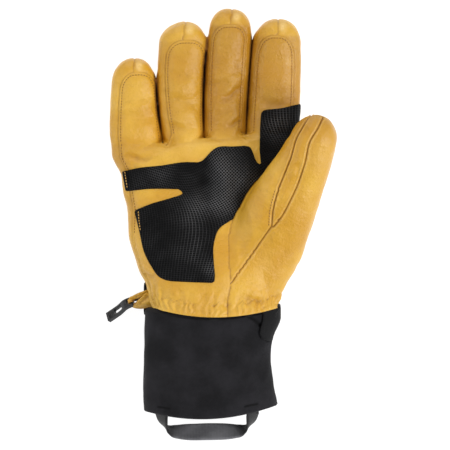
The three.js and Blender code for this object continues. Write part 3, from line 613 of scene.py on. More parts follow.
@dataclass(frozen=True)
class Woven:
    """Black cloth or webbing, whose threads run along the two lengths that the mesh carries."""

    name: str
    slot: str
    dark: tuple
    light: tuple
    pitch: float
    depth: float
    roughness: float = 0.85
    sheen: float = 0.15
    ribbed: bool = False

    def make(self) -> bpy.types.Material:
        """Builds the material."""
        recipe = Recipe(self.name)
        turn = 2.0 * math.pi / self.pitch
        warp = (recipe.carried("thread_u") * turn).wave()
        weft = (recipe.carried("thread_v") * (turn * (0.5 if self.ribbed else 1.0))).wave()
        if self.ribbed:
            weave = warp * 0.8 + weft * warp * 0.15
        else:
            weave = warp * weft + (1.0 - warp) * (1.0 - weft)
        lint = recipe.noise(2.2, 5.0, 0.7)
        shade = recipe.noise(22.0, 3.0).band(0.3, 0.75)
        colour = recipe.mixed((weave * 0.45 + shade * 0.4 + lint * 0.3).band(0.1, 1.0), self.dark, self.light)
        # crease carries painted shade: in the cuff's folds and at the pull loop's ends
        crease = recipe.carried("crease")
        colour = recipe.mixed(crease.band(0.0, 1.0), colour, linear(9, 9, 10))
        normal = recipe.bumped(weave + lint * 0.4, self.depth)
        recipe.set(Base_Color=colour, Roughness=self.roughness, Normal=normal)
        recipe.set(Sheen_Weight=self.sheen, Sheen_Roughness=0.5, Specular_IOR_Level=0.22)
        return recipe.material


@dataclass(frozen=True)
class MouldedPlastic:
    """Black moulded plastic with a fine spark texture and paler scuffs."""

    name: str = "black_plastic"
    slot: str = "plastic"

    def make(self) -> bpy.types.Material:
        """Builds the material."""
        recipe = Recipe(self.name)
        spark = recipe.noise(0.35, 2.0)
        scuff = recipe.noise(3.0, 4.0, 0.7).band(0.55, 0.8)
        colour = recipe.mixed(scuff, linear(22, 23, 25), linear(64, 66, 70))
        rough = 0.38 + scuff * 0.2
        recipe.set(Base_Color=colour, Roughness=rough, Normal=recipe.bumped(spark, 0.03))
        return recipe.material


@dataclass(frozen=True)
class Floor:
    """Plain paper, lit so that it looks white."""

    name: str = "pale_paper"
    dark: tuple = (0.28, 0.28, 0.28, 1.0)
    light: tuple = (0.32, 0.32, 0.32, 1.0)
    glow: float = 0.88

    def make(self) -> bpy.types.Material:
        """Builds the material."""
        recipe = Recipe(self.name)
        tooth = recipe.noise(2.0, 3.0)
        recipe.set(Base_Color=recipe.mixed(tooth, self.dark, self.light), Roughness=0.95)
        recipe.set(Emission_Color=(1.0, 1.0, 1.0, 1.0), Emission_Strength=self.glow)
        return recipe.material


class Finish(Enum):
    """Every finish, by the piece of the glove it is on."""

    LEATHER = Leather()
    INSIDE = Suede()
    THREAD = Thread("tan_thread", linear(122, 76, 26), linear(160, 106, 42))
    PATCH_THREAD = Thread("pale_thread", linear(190, 140, 62), linear(224, 178, 96))
    GRIP = Grip()
    CUFF = Woven("cuff_cloth", "cuff_fabric", linear(7, 7, 9), linear(40, 39, 43), 0.9, 0.14, 0.9, 0.04)
    STRAP = Woven("strap_cloth", "webbing", linear(9, 9, 10), linear(28, 28, 30), 0.9, 0.1, 0.85, 0.04)
    WEBBING = Woven(
        "loop_webbing", "webbing", linear(66, 66, 69), linear(140, 140, 144), 1.0, 0.12, 0.55, 0.1, True
    )
    PLASTIC = MouldedPlastic()
    PAPER = Floor()

    def material(self) -> bpy.types.Material:
        """The finish's material, made the first time that it is asked for."""
        known = bpy.data.materials.get(self.value.name)
        return known or self.value.make()


# The glove's sizes, which repeat those of its solids


@dataclass(frozen=True)
class Finger:
    """One finger: its solid's sizes, how its left shoulder falls away and how much painted shade browns its
    leather.
    """

    name: str
    length: float
    root_drop: float
    root_width: float
    mid_width: float
    tip_width: float
    mid_shift: float
    tip_shift: float
    depth: float
    curl: float
    seam_left: float
    seam_right: float
    cap: float
    shoulder: float
    shade: float


FINGERS = (
    Finger("pinky", 58.6, 6.5, 35, 31, 27.5, -1.6, -0.6, 26, 8, 5.8, -1.0, 9.4, 1.35, 0.0),
    Finger("ring", 78.8, 2, 25.8, 30.6, 32, -2.4, 1.6, 28, 11, 5.2, -1.0, 12.5, 1.95, 0.25),
    Finger("middle", 85.3, 0, 26.2, 28.4, 28.4, 1.2, 4.8, 28, 11, 2.2, 2.2, 10.4, 1.0, 0.6),
    Finger("index", 78.5, 0, 33.7, 33.8, 29.6, 2.4, 3.8, 28, 10, 2.2, 4.4, 10.9, 1.12, 0.56),
)

# Along is a share of the palm's length, left and right are shares of the knuckles' width, and the others are
# shares of the palm's depth
HAND_COLUMNS = ("along", "left", "right", "low", "high", "hollow")
HAND_ROWS = (
    (-0.045, -0.272, 0.4, 0.1, 1.02, 0),
    (0.06, -0.308, 0.394, 0.07, 1.02, 0),
    (0.13, -0.334, 0.405, 0.0, 1.05, 0.02),
    (0.24, -0.362, 0.425, -0.04, 1.07, 0.08),
    (0.4, -0.4, 0.442, -0.05, 1.04, 0.14),
    (0.54, -0.405, 0.452, -0.05, 1.0, 0.15),
    (0.66, -0.43, 0.468, -0.04, 0.97, 0.12),
    (0.765, -0.44, 0.478, -0.02, 0.94, 0.05),
    (0.82, -0.475, 0.486, 0.0, 0.92, 0),
    (0.87, -0.496, 0.496, 0.03, 0.9, 0),
    (0.94, -0.5, 0.5, 0.07, 0.86, 0),
    (0.985, -0.485, 0.485, 0.14, 0.76, 0),
)

# Along is a share of the finger's length, wide of its width there, and crease of its depth
FINGER_COLUMNS = ("along", "wide", "crease")
FINGER_ROWS = (
    (-0.26, 0.6, 0),
    (-0.1, 0.9, 0),
    (0.05, 1, 0.05),
    (0.2, 1, 0),
    (0.33, 1, 0.06),
    (0.46, 1, 0),
    (0.62, 1, 0.03),
    (0.75, 1, 0),
)

# Along, side and lift are shares of the thumb's length, reach and lift, width and depth of its own
THUMB_COLUMNS = ("along", "side", "lift", "width", "depth")
THUMB_ROWS = (
    (-0.26, 0.02, 0.02, 0.46, 0.6),
    (-0.12, 0.02, 0.03, 0.74, 0.8),
    (0, 0.03, 0.05, 0.95, 0.92),
    (0.14, 0.1, 0.13, 1.06, 1.0),
    (0.3, 0.23, 0.28, 1.06, 1.0),
    (0.45, 0.4, 0.45, 0.99, 0.93),
    (0.6, 0.59, 0.63, 0.87, 0.86),
    (0.74, 0.76, 0.79, 0.76, 0.8),
    (0.86, 0.88, 0.91, 0.68, 0.77),
)
# The thumb's two front seams: along its length, and as shares of its half width
THUMB_SEAM_COLUMNS = ("along", "left", "right")
THUMB_SEAMS = (
    (0.25, -0.06, 0.0),
    (0.36, -0.2, 0.12),
    (0.5, -0.34, 0.14),
    (0.68, -0.5, 0.04),
    (0.82, -0.66, -0.12),
    (0.95, -0.6, 0.0),
    (1.1, -0.2, 0.05),
)
# The seam below the thumb: across from the cuff's middle, and along the palm's length
HEEL_SEAM = ((12, 0), (14.4, 0.1), (12.7, 0.27), (13, 0.38), (16, 0.49), (21.5, 0.59), (34, 0.55))

# The grip patch's outline in plan: across is a share of the knuckles' width and along of the palm's length
PATCH_OUTLINE = (
    ("line", ((-0.433, 0.78),)),
    ("curve", ((-0.335, 0.803), (-0.225, 0.815), (-0.116, 0.834), (-0.028, 0.834))),
    ("curve", ((-0.001, 0.849), (0.047, 0.905), (0.086, 0.929), (0.157, 0.93), (0.222, 0.934))),
    ("curve", ((0.252, 0.92), (0.281, 0.841), (0.306, 0.818))),
    ("line", ((0.298, 0.911), (0.302, 1.043), (0.305, 1.105))),
    ("curve", ((0.31, 1.135), (0.329, 1.151), (0.418, 1.162), (0.487, 1.182), (0.56, 1.2))),
    ("line", ((0.56, 0.82), (0.35, 0.6))),
    ("line", ((0.152, 0.488),)),
    ("curve", ((0.083, 0.431), (0.056, 0.346), (0.053, 0.268), (0.061, 0.152))),
    ("curve", ((0.058, 0.116), (0.045, 0.105))),
    ("curve", ((-0.061, 0.109), (-0.171, 0.115))),
    ("curve", ((-0.214, 0.128), (-0.253, 0.164), (-0.312, 0.282), (-0.34, 0.413), (-0.367, 0.543))),
    ("curve", ((-0.28, 0.583), (-0.204, 0.608), (-0.143, 0.629))),
    ("curve", ((-0.116, 0.641), (-0.112, 0.654), (-0.132, 0.672))),
    ("curve", ((-0.225, 0.674), (-0.303, 0.672), (-0.395, 0.661), (-0.414, 0.664))),
)


def table(columns: Sequence[str], rows: Sequence[Sequence[float]], at: Array) -> dict[str, Array]:
    """Every column of a table, read smoothly at places along its first column."""
    values = np.array(rows, float)
    return {name: curve_through(values[:, 0], values[:, k], at) for k, name in enumerate(columns)}


def row_at(columns: Sequence[str], rows: Sequence[Sequence[float]], along: float) -> dict[str, float]:
    """Every column of a table, read smoothly at one place."""
    return {name: column[0] for name, column in table(columns, rows, np.array([along])).items()}


def oval(left: float, right: float, low: float, high: float, u: Array, v: Array) -> tuple[Array, Array]:
    """A ring's places across and up, from shares of its half sizes."""
    return (left + right) / 2 + u * (right - left) / 2, (low + high) / 2 + v * (high - low) / 2


@dataclass
class HandForm:
    """The leather hand's form before it is sewn: the same sections as its solid, lofted finely."""

    palm_length: float = 112.0
    palm_depth: float = 42.0
    hem_drop: float = 11.6
    hem_rise: float = 6.6
    side_seam_inset: float = 2.0
    back_seam_inset: float = 3.0
    finger_gap: float = 2.2
    knuckle_shift: float = -4.4
    finger_root_height: float = 20.5
    tip_dome: float = 15.0
    squareness: float = 2.5
    knuckle_tilt: float = 0.1
    thumb_base: tuple[float, float, float] = (36.0, 25.0, 23.0)
    thumb_reach: float = 39.5
    thumb_length: float = 99.0
    thumb_lift: float = 45.0
    thumb_width: float = 46.0
    thumb_depth: float = 34.0
    thumb_dome: float = 13.8
    thumb_fullness: float = 1.0
    finger_taper: float = 0.12
    heel_start: float = 0.1
    floor_softness: float = 1.2
    voxel: float = 0.9
    around_hand: int = 128
    around_tube: int = 72
    hand_rings: int = 56
    tube_rings: int = 44
    dome_rings: int = 18

    @property
    def knuckle_width(self) -> float:
        """The four roots and the gaps between them."""
        return sum(f.root_width for f in FINGERS) + self.finger_gap * (len(FINGERS) - 1)

    @property
    def hem_side(self) -> float:
        """Where the hem is at its two sides."""
        return self.hem_rise - self.hem_drop

    def across(self, share: Array) -> Array:
        """A place across the hand from a share of the knuckles' width."""
        return self.knuckle_shift + np.asarray(share) * self.knuckle_width

    def section(self, along: float) -> tuple[float, float, float, float, float]:
        """Where the hand's left, right, low and high sides are at a share of its length, and its hollow."""
        row = row_at(HAND_COLUMNS, HAND_ROWS, along)
        sides = self.across(row["left"]), self.across(row["right"])
        return *sides, *(row[name] * self.palm_depth for name in ("low", "high", "hollow"))

    def hand_ring(self, along: float, y: float, droop: float) -> Array:
        """One ring round the hand.

        Args:
            along: the row of the hand's table, as a share of the palm's length.
            y: where the ring lies.
            droop: how far its middle hangs towards the cuff.

        Returns:
            The ring's points.
        """
        *sides, hollow = self.section(along)
        u, v = superellipse(even_angles(self.squareness, self.around_hand), self.squareness)
        x, z = oval(*sides, u, v)
        z = z - np.where(v > 0, hollow * (1 - u * u) ** 1.5, 0.0)
        tilt = smoothstep(np.full_like(x, along), 0.85, 0.94) * self.knuckle_tilt * x
        return np.stack([x, y + tilt - droop * (1 - u * u), z], -1)

    def hand(self) -> Surface:
        """The hand from below its hem to the crotches."""
        first, last = HAND_ROWS[0][0], HAND_ROWS[-1][0]
        spare = 6.0
        rings = [
            self.hand_ring(first, self.hem_side - down, self.hem_rise) for down in (spare, spare / 2, 0.0)
        ]
        for along in np.linspace(first, last, self.hand_rings)[1:]:
            share = min((along - first) / (HAND_ROWS[1][0] - first), 1.0)
            y = along * self.palm_length + (self.hem_side - first * self.palm_length) * (1 - share)
            rings.append(self.hand_ring(along, y, self.hem_rise * (1 - share)))
        return Surface.lofted(np.array(rings))

    def root_x(self, index: int) -> float:
        """The middle of a finger's root."""
        before = sum(f.root_width + self.finger_gap for f in FINGERS[:index])
        return self.knuckle_shift - self.knuckle_width / 2 + before + FINGERS[index].root_width / 2

    def finger_at(self, index: int, along: Array) -> dict[str, Array]:
        """Where a finger's axis is, and its half sizes, at shares of its length."""
        f = FINGERS[index]
        along = np.asarray(along, float)
        share = np.maximum(along, 0.0)
        return {
            "x": self.root_x(index) + through(0.0, f.mid_shift, f.tip_shift, share),
            "y": self.palm_length - f.root_drop + along * f.length,
            "z": self.finger_root_height + f.curl * share**2,
            "half_width": through(f.root_width, f.mid_width, f.tip_width, share) / 2,
            "half_depth": f.depth * (1 - self.finger_taper * share) / 2,
        }

    def thumb_at(self, along: Array) -> dict[str, Array]:
        """Where the thumb's axis is, and its half sizes, at shares of its length."""
        row = table(THUMB_COLUMNS, THUMB_ROWS, along)
        return {
            "x": self.thumb_base[0] + row["side"] * self.thumb_reach,
            "y": self.thumb_base[1] + np.asarray(along) * self.thumb_length,
            "z": self.thumb_base[2] + row["lift"] * self.thumb_lift,
            "half_width": np.maximum(row["width"], 0.4) * self.thumb_width / 2,
            "half_depth": np.maximum(row["depth"], 0.6) * self.thumb_depth / 2,
        }

    def tube(
        self, at: Callable, start: float, end: float, length: float, dome: float, rows: Callable,
        fullness: float = 0.82, shoulder: float = 1.0,
    ) -> Surface:
        """A tube with a domed tip.

        Args:
            at: tells the axis and half sizes at shares of the length.
            start: the first share.
            end: the share where the dome starts.
            length: the tube's length.
            dome: the dome's length.
            rows: tells how wide each share is and how far its palm side dips.
            fullness: 1 for a round dome, less for a fuller one.
            shoulder: how much sooner the dome's left side falls away, 1 for evenly.

        Returns:
            The closed tube.
        """
        u, v = superellipse(even_angles(self.squareness, self.around_tube), self.squareness)
        shares = np.linspace(start, end, self.tube_rings)
        angles = np.radians(np.linspace(0, 88, self.dome_rings)[1:])
        places = np.concatenate([shares, end + np.sin(angles) * dome / length])
        shrink = np.concatenate([np.ones(len(shares)), np.cos(angles) ** fullness])
        falls = np.where(u < 0, 1.0 + (shoulder - 1.0) * np.minimum(-2.0 * u, 1.0), 1.0)
        rings = []
        for place, small in zip(places, shrink):
            here, ahead, behind = (at(np.array([place + step])) for step in (0.0, 0.02, -0.02))
            middle = np.array([here[k][0] for k in "xyz"])
            way = np.array([ahead[k][0] - behind[k][0] for k in "xyz"])
            way /= np.linalg.norm(way)
            right = np.cross(way, [0.0, 0.0, 1.0])
            right /= np.linalg.norm(right)
            up = np.cross(right, way)
            wide, dip = rows(place)
            half_depth = here["half_depth"][0]
            depth = np.where(v > 0, half_depth * (1 - 2 * dip), half_depth)
            side = u * here["half_width"][0] * wide * small**falls
            rings.append(middle + side[:, None] * right + (v * depth * small)[:, None] * up)
        return Surface.lofted(np.array(rings))

    def finger(self, index: int) -> Surface:
        """One finger's tube."""
        f = FINGERS[index]

        def rows(place: float) -> tuple[float, float]:
            """The width and the crease at a share of the length."""
            row = row_at(FINGER_COLUMNS, FINGER_ROWS, min(place, FINGER_ROWS[-1][0]))
            return row["wide"], row["crease"]

        end = 1 - self.tip_dome / f.length
        start = FINGER_ROWS[0][0]
        at = partial(self.finger_at, index)
        return self.tube(at, start, end, f.length, self.tip_dome, rows, shoulder=f.shoulder)

    def thumb(self) -> Surface:
        """The thumb's tube."""
        start, end = THUMB_ROWS[0][0], THUMB_ROWS[-1][0]
        length, dome = self.thumb_length, self.thumb_dome

        def rows(place: float) -> tuple[float, float]:
            """The thumb's full width, with a shallow crease at its joint."""
            return 1.0, 0.03 * float(bell(place - 0.6, 0.08))

        return self.tube(self.thumb_at, start, end, length, dome, rows, self.thumb_fullness)

    def skin(self) -> Surface:
        """The whole hand as one skin, flat underneath where it rests."""
        parts = [self.hand(), self.thumb(), *(self.finger(i) for i in range(len(FINGERS)))]
        skin = Surface.joined(parts).remeshed(self.voxel)
        skin.smooth(5)
        z, soft = skin.points[:, 2], self.floor_softness
        pressed = soft * np.exp(np.minimum(z - soft, 0) / soft) * 0.9 + 0.1 * soft
        skin.points[:, 2] = np.where(z < soft, pressed, z)
        return skin


class Panel(Enum):
    """The leather panels, in the order that the skin is cut, with the piece each one stands for."""

    PALM = "palm_panel"
    BACK = "back_panel"
    PINKY_SIDE = "pinky_side_strip"
    PINKY_RING = "pinky_ring_fourchette"
    RING_MIDDLE = "ring_middle_fourchette"
    MIDDLE_INDEX = "middle_index_fourchette"
    INDEX_SIDE = "index_side_strip"
    THUMB_INNER = "thumb_inner_panel"
    THUMB_WEDGE = "thumb_wedge_panel"
    THUMB_OUTER = "thumb_outer_panel"


PANELS = tuple(Panel)
STRIPS = PANELS[2:7]
THUMB_PANELS = PANELS[7:]


@dataclass
class Pattern:
    """Where the panels' seams run over the hand's form."""

    form: HandForm
    crotch_depth: float = 2.2

    def tongue(self, index: int, palm: bool) -> Array:
        """A finger's tongue in plan, from its left root up round its arch and down to its right root."""
        f = FINGERS[index]
        left_seam = f.seam_left if palm else self.form.back_seam_inset
        right_seam = f.seam_right if palm else self.form.back_seam_inset
        top = 1 - (f.cap if palm else self.form.tip_dome * 0.6) / f.length
        start = top - 0.42 * f.mid_width / f.length
        angles = np.radians(np.linspace(0, 90, 14))
        along = np.concatenate([np.linspace(0.03, start, 10)[:-1], start + (top - start) * np.sin(angles)])
        shrink = np.concatenate([np.ones(9), np.maximum(0.02, np.cos(angles) ** 0.7)])
        at = self.form.finger_at(index, along)
        left, right = at["x"] - at["half_width"] + left_seam, at["x"] + at["half_width"] - right_seam
        middle, half = (left + right) / 2, (right - left) / 2 * shrink
        up = np.stack([middle - half, at["y"]], -1)
        down = np.stack([middle + half, at["y"]], -1)[::-1]
        return np.vstack([up, down])

    def hand_side(self, side: int, palm: bool) -> Array:
        """The panel's edge along one side of the hand, from the hem to the knuckles."""
        along = np.linspace(-0.2, 0.96, 24)
        row = table(HAND_COLUMNS, HAND_ROWS, along)
        share = smoothstep(along, 0.3, 0.86)
        seam = FINGERS[0].seam_left if side < 0 else FINGERS[-1].seam_right
        at_finger = seam if palm else self.form.back_seam_inset
        inset = self.form.side_seam_inset + (at_finger - self.form.side_seam_inset) * share
        edge = self.form.across(row["left"] if side < 0 else row["right"]) - side * inset
        return np.stack([edge, along * self.form.palm_length], -1)

    def outline(self, palm: bool) -> Array:
        """The palm's or the back's outline in plan."""
        tongues = [self.tongue(i, palm) for i in range(len(FINGERS))]
        line = [self.hand_side(-1, palm)]
        for i, tongue in enumerate(tongues):
            line.append(tongue)
            if i + 1 < len(tongues):
                a, b = tongue[-1], tongues[i + 1][0]
                crotch = (a + b) / 2
                crotch[1] = min(a[1], b[1]) - self.crotch_depth
                line.append(crotch[None, :])
        line.append(self.hand_side(1, palm)[::-1])
        return np.vstack(line)

    def middle_height(self, points: Array) -> Array:
        """The height that parts the palm's side from the back's, at each point."""
        row = table(HAND_COLUMNS, HAND_ROWS, np.clip(points[:, 1] / self.form.palm_length, -0.045, 0.985))
        hand = (row["low"] + row["high"]) / 2 * self.form.palm_depth
        beyond = smoothstep(points[:, 1], 0.8 * self.form.palm_length, self.form.palm_length)
        share = np.clip((points[:, 1] - self.form.palm_length) / 80.0, 0.0, 1.2)
        finger = self.form.finger_root_height + 10.0 * share**2
        return hand * (1 - beyond) + finger * beyond

    def thumb_field(self, points: Array) -> Array:
        """How far inside the thumb and heel each point is."""
        shares = np.linspace(THUMB_ROWS[0][0], 1.05, 90)
        at = self.form.thumb_at(shares)
        axis = np.stack([at["x"], at["y"], at["z"]], -1)
        way = np.gradient(axis, axis=0)
        way /= np.linalg.norm(way, axis=1, keepdims=True)
        right = np.cross(way, [0.0, 0.0, 1.0])
        right /= np.linalg.norm(right, axis=1, keepdims=True)
        up = np.cross(right, way)
        nearest = np.empty(len(points), int)
        for start in range(0, len(points), 20000):
            block = points[start : start + 20000]
            nearest[start : start + 20000] = ((block[:, None, :] - axis[None]) ** 2).sum(-1).argmin(1)
        offset = points - axis[nearest]
        u = np.abs(np.einsum("ij,ij->i", offset, right[nearest])) / at["half_width"][nearest]
        v = np.abs(np.einsum("ij,ij->i", offset, up[nearest])) / at["half_depth"][nearest]
        power = self.form.squareness
        tube = (1.07 - (u**power + v**power) ** (1 / power)) * 15.0
        heel = np.array([(x, along * self.form.palm_length) for x, along in HEEL_SEAM])
        side_y = self.form.thumb_base[1] + 0.22 * self.form.thumb_length
        corner = self.form.thumb_base[0] + self.form.thumb_width * 0.2
        outline = np.vstack(
            [[[heel[0, 0], -FAR]], heel, [[corner, side_y], [FAR, side_y], [FAR, -FAR]]]
        )
        raised = points[:, 2] - self.form.palm_depth / 2
        return np.maximum(tube, np.minimum(inside(points[:, :2], outline), raised))

    def thumb_seam(self, side: str) -> Array:
        """A front seam of the thumb in plan."""
        rows = np.array(THUMB_SEAMS)
        column = THUMB_SEAM_COLUMNS.index(side)
        along = np.linspace(rows[0, 0], rows[-1, 0], 40)
        share = curve_through(rows[:, 0], rows[:, column], along)
        at = self.form.thumb_at(along)
        half = at["half_width"]
        return np.stack([at["x"] + share * half * 0.97, at["y"] - share * half * 0.35], -1)

    def seam_x(self, side: str, y: Array) -> Array:
        """Where a front seam of the thumb is at heights along the hand."""
        line = self.thumb_seam(side)
        if side == "left":
            corner = [14.3, self.form.heel_start * self.form.palm_length]
            line = np.vstack([corner, line])
        return np.interp(y, line[:, 1], line[:, 0])

    def inner_field(self, points: Array) -> Array:
        """How far each point is on the palm's side of the thumb's left seam."""
        x, y = points[:, 0], points[:, 1]
        return np.minimum(self.seam_x("left", y) - x, y - self.form.heel_start * self.form.palm_length)

    def wedge_field(self, points: Array) -> Array:
        """How far each point is between the thumb's two front seams."""
        x, y, z = points.T
        line = self.thumb_seam("right")
        between = np.minimum(x - self.seam_x("left", y), self.seam_x("right", y) - x)
        ends = np.minimum(y - line[0, 1], line[-1, 1] - y)
        share = (y - self.form.thumb_base[1]) / self.form.thumb_length
        height = z - self.form.thumb_at(share)["z"]
        return np.minimum(np.minimum(between, ends), height)

    def strip_of(self, points: Array) -> Array:
        """Which side strip each point would be on, from 0 at the pinky to 4 at the index."""
        best = np.full(len(points), FAR)
        strip = np.zeros(len(points), int)
        for i, f in enumerate(FINGERS):
            along = (points[:, 1] - self.form.palm_length + f.root_drop) / f.length
            at = self.form.finger_at(i, np.clip(along, 0.0, 1.0))
            offset = points[:, 0] - at["x"]
            away = np.abs(offset) / at["half_width"]
            closer = away < best
            best = np.where(closer, away, best)
            strip = np.where(closer, np.where(offset < 0, i, i + 1), strip)
        low = points[:, 1] < self.form.palm_length * 0.86
        return np.where(low, np.where(points[:, 0] < self.form.knuckle_shift, 0, len(FINGERS)), strip)

    def tip_field(self, index: int, points: Array) -> Array:
        """Which side of a fingertip's short seam each point is on, near that tip only."""
        at = self.form.finger_at(index, np.array([1.0]))
        f = FINGERS[index]
        near = (np.abs(points[:, 0] - at["x"][0]) < 5.0) & (points[:, 1] > at["y"][0] - 1.4 * f.cap)
        return np.where(near, points[:, 0] - at["x"][0], np.sign(points[:, 0] - at["x"][0]) * FAR)


# Pieces


@dataclass
class Bench:
    """Where finished pieces are placed: it turns millimetres in the glove's axes into the shared frame."""

    frame: dict
    mount_up_the_hand: float = 45.0
    offset: Array = field(init=False)

    def __post_init__(self) -> None:
        """Finds the wrist line from the rest mount, which lies a known way up the hand from it."""
        mounts = self.frame["record"]["mounts"]
        rest = next(m for m in mounts if m["name"] == "rest_face")["pos_m"]
        self.offset = np.array([rest[0], rest[1] - self.mount_up_the_hand / 1000.0, 0.0])

    def placed(self, points: Array) -> Array:
        """Points in metres in the shared frame."""
        return np.asarray(points) / 1000.0 + self.offset

    def add(
        self, name: str, surface: Surface, finishes: Sequence[Finish],
        carried: dict[str, Array] | None = None, slots: Array | None = None,
        normals: Array | None = None, stands_for: Sequence[str] = (),
    ) -> bpy.types.Object:
        """Makes a piece.

        Args:
            name: the piece's name.
            surface: its mesh in millimetres.
            finishes: its finishes, the main one first.
            carried: numbers that its points carry for the finish.
            slots: which finish each face has.
            normals: its smooth surface directions, where they don't come from its own faces alone.
            stands_for: the frame's nodes that it replaces.

        Returns:
            The piece, riding on the one body.
        """
        mesh = bpy.data.meshes.new(name)
        mesh.from_pydata(self.placed(surface.points).tolist(), [], surface.faces.tolist())
        mesh.polygons.foreach_set("use_smooth", np.ones(len(mesh.polygons), bool))
        for key, values in (carried or {}).items():
            mesh.attributes.new(key, "FLOAT", "POINT").data.foreach_set("value", np.asarray(values, float))
        for finish in finishes:
            mesh.materials.append(finish.material())
        if slots is not None:
            mesh.polygons.foreach_set("material_index", slots.astype(np.int32))
        if normals is not None:
            mesh.normals_split_custom_set_from_vertices(normals.tolist())
        mesh.update()
        piece = linked(name, mesh)
        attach(piece, "root")
        if stands_for:
            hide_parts(*stands_for)
        log.info("%s: %d triangles", name, len(surface.faces))
        return piece


def thickened(surface: Surface, normals: Array, wall: float) -> tuple[Surface, Array, Array, Array]:
    """An open skin given a wall and a rim.

    Args:
        surface: the outer skin.
        normals: its outward directions.
        wall: the wall's thickness.

    Returns:
        The closed surface, its normals, which faces are inside, and the old point of each of its points.
    """
    count = len(surface.points)
    inner = surface.points - normals * wall
    rim = surface.rim()
    outer_faces, inner_faces = surface.faces, surface.faces[:, ::-1] + count
    a, b = rim.T
    rim_faces = np.vstack([np.stack([b, a, a + count], -1), np.stack([b, a + count, b + count], -1)])
    faces = np.vstack([outer_faces, inner_faces, rim_faces])
    slots = np.concatenate([np.zeros(len(outer_faces)), np.ones(len(inner_faces)), np.zeros(len(rim_faces))])
    old = np.concatenate([np.arange(count), np.arange(count)])
    return Surface(np.vstack([surface.points, inner]), faces), np.vstack([normals, -normals]), slots, old


@dataclass(frozen=True)
class Fold:
    """A soft crease in the leather, between two places seen in the photograph."""

    start: tuple[float, float]
    end: tuple[float, float]
    width: float
    depth: float


FOLDS = (
    Fold((124, 157), (153, 158), 2.0, 1.3),
    Fold((168, 76), (192, 75), 3.0, 0.6),
    Fold((167, 103), (198, 102), 3.0, 0.7),
    Fold((168, 128), (196, 127), 2.6, 0.7),
    Fold((119, 101), (150, 100), 3.4, 0.4),
    Fold((220, 101), (243, 89), 2.4, 1.2),
    Fold((209, 83), (232, 86), 2.4, 0.6),
    Fold((232, 76), (241, 62), 3.2, 0.9),
    Fold((256, 105), (293, 102), 2.6, 0.9),
    Fold((227, 127), (243, 121), 1.8, 0.9),
    Fold((214, 113), (234, 112), 2.4, 0.7),
    Fold((205, 142), (226, 136), 2.2, 0.5),
    Fold((142, 276), (155, 275), 2.2, 0.8),
    Fold((236, 300), (268, 300), 2.6, 0.9),
    Fold((258, 308), (268, 307), 1.0, 0.4),
    Fold((292, 166), (300, 171), 2.6, 0.5),
    Fold((240, 262), (246, 240), 3.0, 0.4),
    Fold((270, 262), (290, 250), 4.0, 0.4),
    Fold((133, 190), (128, 216), 2.0, 0.5),
    Fold((204, 156), (206, 204), 5.0, 1.5),
    Fold((221, 150), (225, 206), 5.0, -1.3),
    Fold((240, 160), (226, 214), 4.0, 0.6),
    Fold((176, 214), (206, 200), 4.0, -0.6),
    Fold((268, 138), (290, 128), 3.0, 0.9),
)


# Painted highlights on the leather: a place in the photograph, how far it reaches, and how pale it is
PAINTED_HIGHLIGHTS = (
    ((321, 158), 15.0, 0.32),
    ((300, 205), 14.0, 0.2),
    ((266, 262), 9.0, 0.26),
    ((192, 148), 9.0, 0.2),
    ((151, 262), 7.0, 0.15),
    ((289, 62), 4.0, 0.3),
    ((288, 82), 4.0, 0.2),
)

# Where the thumb's root flows into the heel, and the pinky's into the palm's edge, in the photograph
THUMB_ROOT = ((236, 222), (236, 240), (240, 256), (248, 268))
PINKY_ROOT = ((109, 149), (110, 156), (114, 163))


